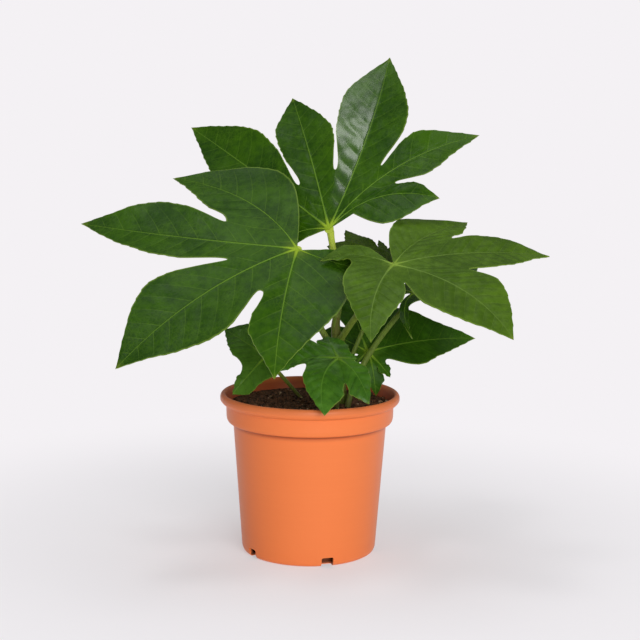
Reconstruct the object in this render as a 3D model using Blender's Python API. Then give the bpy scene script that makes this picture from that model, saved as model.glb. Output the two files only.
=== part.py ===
"""Fatsia japonica standing in its plastic nursery pot.

Millimetre dimensions are turned into metres by MM. Z is up, and the origin is
the middle of the flat face under the pot. X runs to the viewer's right, and Y
away from the viewer.
"""

import math
import random
from collections import namedtuple

import bmesh
import bpy
from mathutils import Vector

MM = 0.001
CLEAR = 0.3

# Pot, in mm
POT_HEIGHT = 107.4
RIM_RADIUS = 60.0
COLLAR_RADIUS = 56.0
BODY_TOP_RADIUS = 51.2
BODY_TOP_Z = 87.0
BASE_RADIUS = 44.8
WALL = 1.6
FLOOR_PAD_RADIUS = 24.0
CHANNEL_OUTER_RADIUS = 37.0
CHANNEL_RISE = 2.6
POT_SIDES = 60
SLOT_COUNT = 5
SLOT_WIDTH = 8.0
SLOT_HEIGHT = 6.0
SLOT_START = -73.5

# Soil, in mm
SOIL_TOP = 99.5
SOIL_BUMP = 1.1
SOIL_BOTTOM = CHANNEL_RISE + WALL + CLEAR
SOIL_RINGS = (9.0, 18.0, 27.0, 36.0, 44.0, 50.0)
SOIL_SIDES = 40

# Leaf blades, in mm
BLADE = 0.8
TOOTH = 0.9
WAVE = 0.8
TAPER = 0.30
SEAM_POWER = 1.6
SPREAD_POWER = 1.5

LOBE_FIELDS = "bearing length bow right left right_full left_full drop arch belly"
Lobe = namedtuple("Lobe", LOBE_FIELDS, defaults=(1.6,))
Gap = namedtuple("Gap", "bearing reach bow hollow", defaults=(0.0, 1.2))
Leaf = namedtuple("Leaf", "name hub lean tilt cup inner outer lobes gaps")
Petiole = namedtuple("Petiole", "name leaf foot start foot_pull arrive hub_pull foot_radius hub_radius")

# Each lobe: direction from the hub in degrees, then length, sideways bow, half
# width on the clockwise and the anticlockwise side, where each is fullest, how
# far the tip hangs, how far the middle arches and how full the outer part stays.
# Each gap: direction, reach, sideways bow of the seam from the hub to it, and how
# far its two sides are hollowed near the bottom.
LEAVES = (
    Leaf("left_leaf", (-9.0, -22.0, 205.5), -90, 38, 0.10, 3, 10, (
        Lobe(140, 112, -13, 34.5, 22, 0.50, 0.15, 4, 0),
        Lobe(167.5, 147.5, 4.5, 29.5, 20, 0.45, 0.43, 10, 0),
        Lobe(220.5, 143, -8, 29.5, 34.5, 0.50, 0.39, 14, 0),
        Lobe(263, 100.5, -2, 18.5, 40, 0.50, 0.18, 14, 0, 1.2),
        Lobe(343, 50, -4, 10, 9, 0.40, 0.43, 4, 0),
    ), ((88, 7), (153, 53), (194, 45.5), (240, 44, 0, 2.4), (317, 49), (341, 4))),
    Leaf("top_leaf", (11.5, 8.0, 216.0), -112, 54, 0.10, 3, 10, (
        Lobe(24, 75.5, 13, 23.5, 9.5, 0.38, 0.50, 6, 0),
        Lobe(44, 119, 12, 17, 18, 0.31, 0.50, 8, 0),
        Lobe(87, 148, -5, 25.5, 26, 0.40, 0.59, 8, 0),
        Lobe(117.5, 127.5, -1.5, 20, 19, 0.46, 0.60, 10, 0),
        Lobe(146.5, 161, 0, 25, 25.5, 0.52, 0.24, 14, 0),
        Lobe(209.5, 52.5, -8, 10, 10, 0.40, 0.60, 4, 0),
    ), ((42, 19), (46, 54, 3.9), (64, 57, 2), (98, 47, 0, 1.7), (132, 45, 0, 1.7), (168, 52), (204, 5))),
    Leaf("right_leaf", (52.0, -46.0, 198.5), -90, 25, 0.08, 3, 10, (
        Lobe(167.5, 47, -6.5, 13, 2.5, 0.70, 0.39, 4, 0),
        Lobe(257.5, 71.5, -5, 24.5, 18, 0.15, 0.20, 12, 0),
        Lobe(315.5, 97, 11, 31, 24, 0.35, 0.30, 10, 0),
        Lobe(374, 105, 5.5, 21.5, 20, 0.15, 0.39, 8, 0),
        Lobe(410, 80, 6.5, 11, 24, 0.39, 0.54, 4, 0),
    ), ((129, 7.5), (175, 27), (285, 23, 0, 0.4), (354, 47.5, 0, 0.8), (401, 52, 0, 0.6), (455, 9.5))),
    Leaf("rear_leaf", (69.5, 22.0, 172.0), -80, 20, 0.05, 2, 8, (
        Lobe(-102, 39.5, -6, 3, 2.5, 0.50, 0.30, 14, 0),
        Lobe(-31, 46, 0, 9, 9, 0.40, 0.40, 3, 0),
        Lobe(43, 84, 0, 13.5, 16, 0.40, 0.40, 6, 0),
        Lobe(70, 96, 0, 18, 18, 0.40, 0.40, 6, 0),
        Lobe(150, 20, 0, 6, 5.5, 0.40, 0.40, 2, 0),
    ), ((-150, 3), (-63, 11, 0, 0.4), (23, 28), (57, 46), (100, 14), (190, 3.5))),
    Leaf("young_leaf", (51.5, 18.0, 189.0), -90, 28, 0.05, 2, 6, (
        Lobe(75, 31, 0, 6, 6, 0.40, 0.40, 2, 0),
        Lobe(98, 37.5, -1.5, 2.5, 3.5, 0.40, 0.40, 2, 0),
        Lobe(118.5, 59, 0, 7.5, 7, 0.40, 0.40, 3.5, 0),
        Lobe(143.5, 51, 0, 13.5, 9.5, 0.45, 0.40, 3, 0),
        Lobe(176, 24.5, 0, 4.5, 4.5, 0.40, 0.40, 1.5, 0),
    ), ((66, 6), (87, 17, 0, 0.2), (106, 13, 0, 0.2), (130, 35, 0, 0.4), (160, 20, 0, 0.2), (190, 4))),
    Leaf("low_right_leaf", (38.5, 10.0, 133.0), -85, 38, 0.10, 2, 8, (
        Lobe(-78, 24, 0, 5.5, 6.5, 0.55, 0.50, 18, 1.5),
        Lobe(-54, 23.5, 0, 3.5, 4.5, 0.40, 0.30, 4, 0),
        Lobe(13, 78.5, 2.5, 21.5, 33.5, 0.30, 0.03, 6, 0, 1.35),
        Lobe(98, 56, 1, 11, 12, 0.40, 0.35, 2, 0),
        Lobe(141, 36, 0, 9, 9.5, 0.42, 0.45, 3, 0),
        Lobe(228, 12.5, 0, 3.5, 2, 0.45, 0.40, 1, 0),
    ), ((-112, 3), (-64, 12, 0, 0.3), (-27, 14), (73, 43, 0, 0.5), (120, 27, 0, 0.6),
        (198, 7, 0, 0.2), (243, 4))),
    Leaf("low_left_leaf", (-29.5, -8.0, 132.5), -100, 42, 0.06, 2, 8, (
        Lobe(37, 18, 0, 3.5, 3.5, 0.40, 0.40, 1, 0),
        Lobe(143.5, 41, 0, 12.5, 13, 0.60, 0.28, 4, 0),
        Lobe(237, 33.5, 0.5, 5.5, 9.5, 0.30, 0.75, 6, 0),
    ), ((0, 4.5), (111, 10), (212.5, 17, 0, 0.2), (297, 18.5))),
    Leaf("low_front_leaf", (18.0, -38.0, 137.0), -95, 36, 0.08, 2, 8, (
        Lobe(-358, 11.5, 0, 4, 4, 0.40, 0.40, 0.5, 0),
        Lobe(-247, 22, 0, 9, 8, 0.40, 0.40, 1, 0),
        Lobe(-166, 42, -4, 18, 4, 0.30, 0.20, 4, 0),
        Lobe(-97.5, 44, -5.5, 13, 14, 0.25, 0.35, 7, 3),
        Lobe(-57, 39.5, 2.5, 9.5, 8, 0.37, 0.38, 6, 2),
    ), ((-370, 7), (-335, 9, 0, 0.2), (-220, 18, 0, 0), (-162, 21.5, 0, 0.5),
        (-75, 24, 0, 0.2), (-15, 7))),
)

# Stem line as (x, y, z, radius), and the petiole joints on it, in mm
STEM_LINE = (
    (22.5, 2.0, 74.0, 3.2),
    (22.2, 2.0, 92.0, 3.3),
    (21.6, 2.0, 104.0, 3.3),
    (20.2, 2.0, 118.0, 3.0),
    (18.7, 2.0, 130.0, 3.2),
    (17.2, 2.0, 142.0, 3.2),
    (16.6, 2.5, 152.0, 3.1),
    (17.0, 2.8, 157.0, 2.6),
)
SPURS = (
    ("left_leaf", (19.8, 2.0, 118.0), (-0.20, -0.42, 0.88), 15.0, 2.5),
    ("right_leaf", (17.8, 2.0, 139.0), (0.38, -0.56, 0.74), 7.0, 2.7),
    ("young_leaf", (20.7, 2.0, 113.0), (0.36, 0.14, 0.92), 12.5, 1.8),
    ("top_leaf", (17.0, 2.8, 156.0), (0.22, 0.06, 0.97), 3.0, 2.6),
)

# Petiole: start point and start direction (none for one that leaves a spur),
# how far it runs that way, the way it arrives under the hub (none for square
# to the blade), how far it runs that way, and its radius at either end.
PETIOLES = (
    Petiole("left_leaf", 0, None, None, 14, None, 46, 2.2, 2.0),
    Petiole("top_leaf", 1, None, None, 20, (-0.10, -0.10, 1.0), 14, 2.4, 2.2),
    Petiole("right_leaf", 2, None, None, 26, (0.45, -0.55, 0.70), 18, 2.2, 2.0),
    Petiole("rear_leaf", 3, (23.5, -8.0, 84.0), (0.03, -0.05, 1.0), 34,
            (0.62, 0.42, 0.66), 46, 2.0, 1.9),
    Petiole("young_leaf", 4, None, None, 28, (0.35, 0.10, 0.93), 22, 1.5, 1.3),
    Petiole("low_right_leaf", 5, (32.5, 13.0, 84.0), (0.05, -0.04, 1.0), 20, None, 12, 1.5, 1.1),
    Petiole("low_left_leaf", 6, (2.0, 26.5, 88.0), (-0.52, -0.48, 0.70), 16,
            (-0.50, -0.60, 0.62), 14, 1.3, 1.3),
    Petiole("low_front_leaf", 7, (17.5, -14.0, 84.0), (0.0, -0.12, 0.99), 22, None, 14, 1.6, 1.6),
)
TUBE_SIDES = 8
TUBE_STEPS = 9
PAD_FLARE = 0.6
PAD_HEIGHT = 1.0


def clear_scene():
    for thing in list(bpy.data.objects):
        bpy.data.objects.remove(thing, do_unlink=True)


def material(name, colour, roughness, metallic=0.0):
    made = bpy.data.materials.new(name)
    made.use_nodes = True
    shader = made.node_tree.nodes["Principled BSDF"]
    shader.inputs["Base Color"].default_value = (*colour, 1.0)
    shader.inputs["Roughness"].default_value = roughness
    shader.inputs["Metallic"].default_value = metallic
    made.diffuse_color = (*colour, 1.0)
    return made


def new_object(name, mesh_source, finish):
    mesh = bpy.data.meshes.new(name)
    mesh_source.to_mesh(mesh)
    mesh_source.free()
    made = bpy.data.objects.new(name, mesh)
    bpy.context.scene.collection.objects.link(made)
    if finish:
        mesh.materials.append(finish)
    return made


def hide_cutter(cutter):
    cutter.hide_render = True
    cutter.display_type = "WIRE"


def boolean(target, other, operation, name):
    modifier = target.modifiers.new(name, "BOOLEAN")
    modifier.operation = operation
    modifier.solver = "EXACT"
    modifier.object = other
    hide_cutter(other)


def polar(bearing, reach):
    angle = math.radians(bearing)
    return Vector((reach * math.cos(angle), reach * math.sin(angle)))


def clamp(value, low, high):
    return max(low, min(high, value))


class Blade:
    """Middle surface of one palmate leaf, in the plane of the leaf."""

    def __init__(self, leaf):
        self.leaf = leaf
        lean = math.radians(leaf.lean)
        tilt = math.radians(leaf.tilt)
        self.hub = Vector(leaf.hub)
        self.normal = Vector((
            math.sin(tilt) * math.cos(lean),
            math.sin(tilt) * math.sin(lean),
            math.cos(tilt),
        ))
        self.level = Vector((-math.sin(lean), math.cos(lean), 0.0))
        self.uphill = self.normal.cross(self.level)
        sizes = [Gap(*gap) for gap in leaf.gaps]
        self.gaps = [polar(gap.bearing, gap.reach) for gap in sizes]
        self.bows = [gap.bow for gap in sizes]
        self.hollows = [gap.hollow for gap in sizes]
        self.gap_heights = [self.gap_height(k) for k in range(len(self.gaps))]

    def axes(self, index):
        along = polar(self.leaf.lobes[index].bearing, 1.0)
        return along, Vector((-along.y, along.x))

    def midrib(self, index, u):
        lobe = self.leaf.lobes[index]
        along, across = self.axes(index)
        return along * (lobe.length * u) + across * (4 * lobe.bow * u * (1 - u))

    def seam(self, k, t):
        """Point on the line from the hub to a gap; t is 0 at the hub."""
        across = Vector((-self.gaps[k].y, self.gaps[k].x)).normalized()
        return self.gaps[k] * t + across * (4 * self.bows[k] * t * (1 - t))

    def rib_height(self, index, u):
        lobe = self.leaf.lobes[index]
        return 4 * lobe.arch * u * (1 - u) - lobe.drop * u * u

    def local(self, index, point):
        lobe = self.leaf.lobes[index]
        along, across = self.axes(index)
        reach = point.dot(along)
        u = clamp(reach / lobe.length, 0.0, 1.0)
        return reach, point.dot(across) - 4 * lobe.bow * u * (1 - u), u

    def gap_height(self, k):
        heights = []
        for index in (k - 1, k):
            if 0 <= index < len(self.leaf.lobes):
                _, offset, u = self.local(index, self.gaps[k])
                heights.append(self.rib_height(index, u) + self.leaf.cup * abs(offset))
        return sum(heights) / len(heights)

    def start(self, index):
        """Share of the midrib that lies inside the gaps on both sides."""
        reaches = [self.local(index, self.gaps[k])[0] for k in (index, index + 1)]
        return clamp(0.45 * sum(reaches) / self.leaf.lobes[index].length, 0.06, 0.75)

    def half_width(self, q, at_gap, widest, fullest, belly):
        if q < fullest:
            return at_gap + (widest - at_gap) * math.sin(0.5 * math.pi * q / fullest)
        t = (q - fullest) / (1 - fullest)
        return widest * (1 - t ** belly) * (1 - TAPER * t * t)

    def tooth(self, q):
        phase = q * self.leaf.outer / 2 % 1.0
        rise = 1 - abs(2 * phase - 1)
        return TOOTH * rise * clamp(6 * (1 - q), 0, 1) * clamp(5 * q - 0.5, 0, 1)

    def margin(self, index, side, q):
        """Plan point and height on the free edge; side is -1 clockwise, 1 anticlockwise."""
        lobe = self.leaf.lobes[index]
        along, across = self.axes(index)
        k = index if side < 0 else index + 1
        reach, offset, _ = self.local(index, self.gaps[k])
        widest, fullest = lobe.left, lobe.left_full
        if side < 0:
            widest, fullest = lobe.right, lobe.right_full
        distance = reach + (lobe.length - reach) * q
        u = clamp(distance / lobe.length, 0.0, 1.0)
        width = self.half_width(q, offset * side, widest, fullest, lobe.belly)
        if 0 < k < len(self.gaps) - 1:
            near = clamp(q / 0.4, 0.0, 1.0)
            width -= self.hollows[k] * 3.49 * math.sqrt(near) * (1 - near) ** 2
        lateral = 4 * lobe.bow * u * (1 - u) + side * (width + self.tooth(q))
        height = self.rib_height(index, u) + self.leaf.cup * width
        height += WAVE * math.sin(math.pi * q) * math.sin(3 * math.pi * q + 2.1 * index + side)
        near_gap = clamp(1 - q / 0.3, 0.0, 1.0) ** 2
        height = height * (1 - near_gap) + self.gap_heights[k] * near_gap
        return along * distance + across * lateral, height

    def surface(self, index, row, v):
        """Point for a row counted from the hub and v from -1 (clockwise) to 1."""
        side = -1 if v < 0 else 1
        start = self.start(index)
        if row <= self.leaf.inner:
            t = row / self.leaf.inner
            u = start * t
            k = index if side < 0 else index + 1
            edge = self.seam(k, t)
            edge_height = self.gap_heights[k] * t ** SEAM_POWER
        else:
            q = (row - self.leaf.inner) / self.leaf.outer
            u = start + (1 - start) * q
            edge, edge_height = self.margin(index, side, q)
        plan = self.midrib(index, u).lerp(edge, abs(v))
        share = abs(v) ** SPREAD_POWER
        height = self.rib_height(index, u) * (1 - share) + edge_height * share
        return self.place(plan, height)

    def place(self, plan, height):
        spot = self.hub + self.level * plan.x + self.uphill * plan.y
        return (spot + self.normal * height) * MM


def build_blade(leaf, finish):
    blade = Blade(leaf)
    rows = leaf.inner + leaf.outer
    bm = bmesh.new()
    for index in range(len(leaf.lobes)):
        made = bmesh.ops.create_grid(bm, x_segments=4, y_segments=rows, size=1.0)
        for vert in made["verts"]:
            row = round((vert.co.y + 1) / 2 * rows)
            vert.co = blade.surface(index, row, -vert.co.x)
    bmesh.ops.remove_doubles(bm, verts=bm.verts, dist=0.002 * MM)
    bmesh.ops.triangulate(bm, faces=bm.faces)
    made = new_object(leaf.name + "_blade", bm, finish)
    shell = made.modifiers.new("thickness", "SOLIDIFY")
    shell.thickness = BLADE * MM
    shell.offset = 0.0
    return made


def ring(bm, centre, normal, radius, sides):
    """Ring of vertices square to normal, each started from the same direction."""
    normal = normal.normalized()
    first = Vector((0.0, 1.0, 0.0)) - normal * normal.y
    if first.length < 0.2:
        first = Vector((1.0, 0.0, 0.0)) - normal * normal.x
    first.normalize()
    second = normal.cross(first)
    verts = []
    for k in range(sides):
        angle = 2 * math.pi * k / sides
        arm = first * math.cos(angle) + second * math.sin(angle)
        verts.append(bm.verts.new((centre + arm * radius) * MM))
    return verts


def build_tube(name, rings, sides, finish):
    """Closed tube through rings of (centre, normal, radius)."""
    bm = bmesh.new()
    loops = [ring(bm, centre, normal, radius, sides) for centre, normal, radius in rings]
    for lower, upper in zip(loops, loops[1:]):
        for k in range(sides):
            j = (k + 1) % sides
            bm.faces.new((lower[k], lower[j], upper[j], upper[k]))
    bm.faces.new(list(reversed(loops[0])))
    bm.faces.new(loops[-1])
    bmesh.ops.triangulate(bm, faces=[f for f in bm.faces if len(f.verts) == 4])
    return new_object(name, bm, finish)


def bezier(points, t):
    a, b, c, d = points
    s = 1 - t
    spot = a * s ** 3 + b * 3 * s * s * t + c * 3 * s * t * t + d * t ** 3
    slope = (b - a) * 3 * s * s + (c - b) * 6 * s * t + (d - c) * 3 * t * t
    return spot, slope


def spur_of(name):
    for owner, root, direction, reach, radius in SPURS:
        if owner == name:
            return Vector(root), Vector(direction).normalized(), reach, radius
    return None


def petiole_rings(petiole):
    """Rings from the foot to a flat pad that lies just under the blade."""
    blade = Blade(LEAVES[petiole.leaf])
    spur = spur_of(petiole.name)
    if spur:
        root, heading, reach, _ = spur
        foot = root + heading * (reach + CLEAR)
    else:
        foot, heading = Vector(petiole.foot), Vector(petiole.start).normalized()
    pad_top = blade.hub - blade.normal * (BLADE / 2 + CLEAR)
    neck = pad_top - blade.normal * (PAD_HEIGHT + 1.6)
    arrive = Vector(petiole.arrive).normalized() if petiole.arrive else blade.normal
    points = (
        foot,
        foot + heading * petiole.foot_pull,
        neck - arrive * petiole.hub_pull,
        neck,
    )
    rings = []
    for step in range(TUBE_STEPS + 1):
        t = step / TUBE_STEPS
        spot, slope = bezier(points, t)
        radius = petiole.foot_radius + (petiole.hub_radius - petiole.foot_radius) * t
        rings.append((spot, slope, radius))
    pad_radius = petiole.hub_radius + PAD_FLARE
    rings.append((pad_top - blade.normal * PAD_HEIGHT, blade.normal, pad_radius))
    rings.append((pad_top, blade.normal, pad_radius))
    return rings


def build_petiole(petiole, finish):
    return build_tube(petiole.name + "_petiole", petiole_rings(petiole), TUBE_SIDES, finish)


def build_stem(finish):
    line = [Vector(row[:3]) for row in STEM_LINE]
    rings = []
    for k, row in enumerate(STEM_LINE):
        before, after = line[max(k - 1, 0)], line[min(k + 1, len(line) - 1)]
        rings.append((line[k], after - before, row[3]))
    stem = build_tube("main_stem", rings, 10, finish)
    for owner, root, direction, reach, radius in SPURS:
        start, heading = Vector(root), Vector(direction).normalized()
        spur_rings = [
            (start, heading, radius + 0.3),
            (start + heading * (reach - 1.0), heading, radius + 0.1),
            (start + heading * reach, heading, radius),
        ]
        spur = build_tube("spur_" + owner, spur_rings, TUBE_SIDES, None)
        boolean(stem, spur, "UNION", "join " + owner)
    return stem


def lathe(profile, sides):
    """Solid turned about Z from a profile that starts and ends on the axis."""
    bm = bmesh.new()
    loops = []
    for radius, z in profile:
        if radius == 0:
            loops.append([bm.verts.new((0.0, 0.0, z * MM))])
            continue
        loops.append(ring(bm, Vector((0, 0, z)), Vector((0, 0, 1)), radius, sides))
    for lower, upper in zip(loops, loops[1:]):
        for k in range(sides):
            j = (k + 1) % sides
            corners = [lower[k % len(lower)], lower[j % len(lower)]]
            corners += [upper[j % len(upper)], upper[k % len(upper)]]
            unique = list(dict.fromkeys(corners))
            bm.faces.new(unique)
    bmesh.ops.recalc_face_normals(bm, faces=bm.faces)
    bmesh.ops.triangulate(bm, faces=bm.faces)
    return bm


def body_radius(z):
    return BASE_RADIUS + (BODY_TOP_RADIUS - BASE_RADIUS) * z / BODY_TOP_Z


def pot_profile():
    top = POT_HEIGHT
    outside = [
        (0.0, 0.0),
        (FLOOR_PAD_RADIUS, 0.0),
        (FLOOR_PAD_RADIUS + 0.6, CHANNEL_RISE),
        (CHANNEL_OUTER_RADIUS - 0.6, CHANNEL_RISE),
        (CHANNEL_OUTER_RADIUS, 0.0),
        (BASE_RADIUS - 1.8, 0.0),
        (BASE_RADIUS - 0.6, 0.8),
        (body_radius(3.0), 3.0),
        (BODY_TOP_RADIUS, BODY_TOP_Z),
        (COLLAR_RADIUS - 3.2, top - 19.0),
        (COLLAR_RADIUS - 1.6, top - 17.2),
        (COLLAR_RADIUS - 1.0, top - 14.5),
        (COLLAR_RADIUS, top - 7.6),
        (RIM_RADIUS - 1.4, top - 6.4),
        (RIM_RADIUS, top - 4.6),
        (RIM_RADIUS, top - 2.2),
        (RIM_RADIUS - 0.8, top - 0.7),
        (RIM_RADIUS - 2.0, top),
        (RIM_RADIUS - 3.2, top - 0.5),
    ]
    inside = [
        (COLLAR_RADIUS - WALL - 0.3, top - 9.0),
        (COLLAR_RADIUS - WALL - 1.4, top - 15.0),
        (COLLAR_RADIUS - WALL - 3.4, top - 19.6),
        (BODY_TOP_RADIUS - WALL - 0.2, BODY_TOP_Z - 2.0),
        (body_radius(6.0) - WALL, 6.0),
        (BASE_RADIUS - WALL - 1.6, WALL),
        (CHANNEL_OUTER_RADIUS + WALL - 0.6, WALL),
        (CHANNEL_OUTER_RADIUS + WALL - 1.6, CHANNEL_RISE + WALL),
        (FLOOR_PAD_RADIUS - WALL + 1.6, CHANNEL_RISE + WALL),
        (FLOOR_PAD_RADIUS - WALL + 0.6, WALL),
        (0.0, WALL),
    ]
    return outside + inside


def box_ring(count, inner, outer, width, low, high, start):
    """Boxes set round the axis, in one mesh, to cut the drain slots."""
    bm = bmesh.new()
    for k in range(count):
        angle = math.radians(start + 360 * k / count)
        made = bmesh.ops.create_cube(bm, size=1.0)
        for vert in made["verts"]:
            x = inner + (vert.co.x + 0.5) * (outer - inner)
            y = vert.co.y * width
            z = low + (vert.co.z + 0.5) * (high - low)
            vert.co = Vector((
                x * math.cos(angle) - y * math.sin(angle),
                x * math.sin(angle) + y * math.cos(angle),
                z,
            )) * MM
    return bm


def build_pot(finish):
    pot = new_object("pot", lathe(pot_profile(), POT_SIDES), finish)
    slots = new_object("slot_cutter", box_ring(
        SLOT_COUNT, CHANNEL_OUTER_RADIUS + 1.4, BASE_RADIUS + 5, SLOT_WIDTH,
        -2.0, SLOT_HEIGHT, SLOT_START,
    ), None)
    boolean(pot, slots, "DIFFERENCE", "drain slots")
    return pot


def inner_radius(z):
    """Radius of the inside of the pot at a height."""
    points = [(radius, height) for radius, height in pot_profile()[19:25]]
    points.reverse()
    for (r0, z0), (r1, z1) in zip(points, points[1:]):
        if z0 <= z <= z1:
            return r0 + (r1 - r0) * (z - z0) / (z1 - z0)
    return points[-1][0]


def build_soil(finish):
    facet = math.cos(math.pi / POT_SIDES) * 0.995
    levels = (SOIL_BOTTOM, 6.0, BODY_TOP_Z - 2.0, POT_HEIGHT - 19.6, POT_HEIGHT - 15.0, SOIL_TOP - 0.6)
    profile = [(0.0, SOIL_BOTTOM), (CHANNEL_OUTER_RADIUS, SOIL_BOTTOM)]
    profile += [(inner_radius(z) * facet - 2 * CLEAR, z) for z in levels[1:]]
    profile += [(radius, SOIL_TOP) for radius in reversed(SOIL_RINGS)]
    profile.append((0.0, SOIL_TOP))
    bm = lathe(profile, SOIL_SIDES)
    shaker = random.Random(7)
    for vert in bm.verts:
        if vert.co.z > (SOIL_TOP - 0.1) * MM:
            vert.co.z += shaker.uniform(-SOIL_BUMP, SOIL_BUMP) * MM
    soil = new_object("soil", bm, finish)
    for name, rings, sides in planted_rings():
        wide = [(centre, normal, radius + CLEAR) for centre, normal, radius in rings]
        centre, normal, radius = wide[0]
        wide.insert(0, (centre - normal.normalized() * CLEAR, normal, radius))
        hole = build_tube("hole_" + name, wide, sides, None)
        boolean(soil, hole, "DIFFERENCE", "hole " + name)
    return soil


def planted_rings():
    """Lower rings of every stem and petiole that stands in the soil."""
    line = [Vector(row[:3]) for row in STEM_LINE]
    stem = [(line[k], line[k + 1] - line[k], STEM_LINE[k][3]) for k in range(4)]
    yield "main_stem", stem, 10
    for petiole in PETIOLES:
        if petiole.foot:
            yield petiole.name, petiole_rings(petiole)[:5], TUBE_SIDES


def build_part():
    clear_scene()
    greens = {
        "left_leaf": (0.045, 0.130, 0.030),
        "top_leaf": (0.050, 0.150, 0.030),
        "right_leaf": (0.065, 0.160, 0.035),
        "rear_leaf": (0.045, 0.130, 0.030),
        "young_leaf": (0.055, 0.110, 0.025),
        "low_right_leaf": (0.035, 0.110, 0.025),
        "low_left_leaf": (0.050, 0.130, 0.030),
        "low_front_leaf": (0.065, 0.180, 0.035),
    }
    build_pot(material("pot_plastic", (0.72, 0.23, 0.08), 0.45))
    build_soil(material("soil_earth", (0.035, 0.020, 0.014), 0.95))
    build_stem(material("stem_bark", (0.12, 0.13, 0.035), 0.6))
    for leaf in LEAVES:
        build_blade(leaf, material(leaf.name + "_blade", greens[leaf.name], 0.35))
    for petiole in PETIOLES:
        build_petiole(petiole, material(petiole.name + "_petiole", (0.30, 0.42, 0.06), 0.45))


build_part()
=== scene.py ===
"""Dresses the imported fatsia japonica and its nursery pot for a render.

Each leaf blade, stalk and stem, the soil and the pot are built again as finer
pieces on the same lines as the solids, and get procedural finishes. Sizes in
the classes are in millimetres, and MM turns them into metres. Z is up and the
origin is the middle of the flat face under the pot.
"""

import logging
import math
import random
from collections.abc import Iterable
from dataclasses import dataclass, field
from enum import Enum

import bmesh
import bpy
from mathutils import Matrix, Vector, noise


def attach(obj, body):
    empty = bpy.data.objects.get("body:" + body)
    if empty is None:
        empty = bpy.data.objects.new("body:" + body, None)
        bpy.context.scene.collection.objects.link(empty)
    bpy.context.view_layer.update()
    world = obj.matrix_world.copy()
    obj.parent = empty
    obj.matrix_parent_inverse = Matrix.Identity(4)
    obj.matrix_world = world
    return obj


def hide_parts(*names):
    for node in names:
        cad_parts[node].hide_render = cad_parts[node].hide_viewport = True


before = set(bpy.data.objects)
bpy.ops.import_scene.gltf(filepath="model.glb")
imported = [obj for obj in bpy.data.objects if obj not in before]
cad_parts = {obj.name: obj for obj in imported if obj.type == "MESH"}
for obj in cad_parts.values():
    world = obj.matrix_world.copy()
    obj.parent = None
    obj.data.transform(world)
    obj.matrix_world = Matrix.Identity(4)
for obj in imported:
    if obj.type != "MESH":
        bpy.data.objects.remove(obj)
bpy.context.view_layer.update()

LOG = logging.getLogger("fatsia")
MM = 0.001
FRAME_PIXELS = 640
Colour = tuple[float, float, float]
Point = tuple[float, float, float]
Pair = tuple[float, float]


def clamp(value: float, low: float = 0.0, high: float = 1.0) -> float:
    """Value held between low and high."""
    return max(low, min(high, value))


def ease(value: float, low: float, high: float) -> float:
    """Smooth step of value from 0 at low to 1 at high."""
    t = clamp((value - low) / (high - low))
    return t * t * (3 - 2 * t)


def arc(rise: float, t: float) -> float:
    """Height of an arc with this rise that starts at t = 0 and ends at t = 1."""
    return 4 * rise * t * (1 - t)


# Shader tools


class Wire:
    """A value in a shader; arithmetic on it adds Math nodes."""

    def __init__(self, shader: "Shader", socket: bpy.types.NodeSocket) -> None:
        """Keep the output socket that carries the value.

        Args:
            shader: Shader that new nodes go into.
            socket: Output socket to read.
        """
        self.shader = shader
        self.socket = socket

    def math(self, operation: str, *values: "Wire | float") -> "Wire":
        """Result of a Math node fed with these values.

        Args:
            operation: Math node operation.
            values: Inputs in order.

        Returns:
            The node's output.
        """
        made = self.shader.node(
            "ShaderNodeMath", {"operation": operation}, dict(enumerate(values))
        )
        return Wire(self.shader, made.outputs[0])

    def __add__(self, other: "Wire | float") -> "Wire":
        """Sum."""
        return self.math("ADD", self, other)

    def __radd__(self, other: float) -> "Wire":
        """Sum with a number in front."""
        return self.math("ADD", other, self)

    def __sub__(self, other: "Wire | float") -> "Wire":
        """Difference."""
        return self.math("SUBTRACT", self, other)

    def __rsub__(self, other: float) -> "Wire":
        """Difference from a number."""
        return self.math("SUBTRACT", other, self)

    def __mul__(self, other: "Wire | float") -> "Wire":
        """Product."""
        return self.math("MULTIPLY", self, other)

    def __rmul__(self, other: float) -> "Wire":
        """Product with a number in front."""
        return self.math("MULTIPLY", other, self)

    def __truediv__(self, other: "Wire | float") -> "Wire":
        """Quotient."""
        return self.math("DIVIDE", self, other)

    def __rtruediv__(self, other: float) -> "Wire":
        """Quotient of a number."""
        return self.math("DIVIDE", other, self)

    def top(self, other: "Wire | float") -> "Wire":
        """Larger of the two."""
        return self.math("MAXIMUM", self, other)

    def zigzag(self) -> "Wire":
        """Triangle wave, 1 at whole numbers and 0 halfway between them."""
        return self.math("ABSOLUTE", self.math("FRACT", self) - 0.5) * 2

    def step(self, low: float, high: float) -> "Wire":
        """Smooth step from 0 at low to 1 at high.

        Args:
            low: Value that gives 0.
            high: Value that gives 1; below low for a falling step.

        Returns:
            The eased value.
        """
        made = self.shader.node(
            "ShaderNodeMapRange",
            {"interpolation_type": "SMOOTHSTEP"},
            {"Value": self, "From Min": low, "From Max": high},
        )
        return Wire(self.shader, made.outputs[0])


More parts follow.
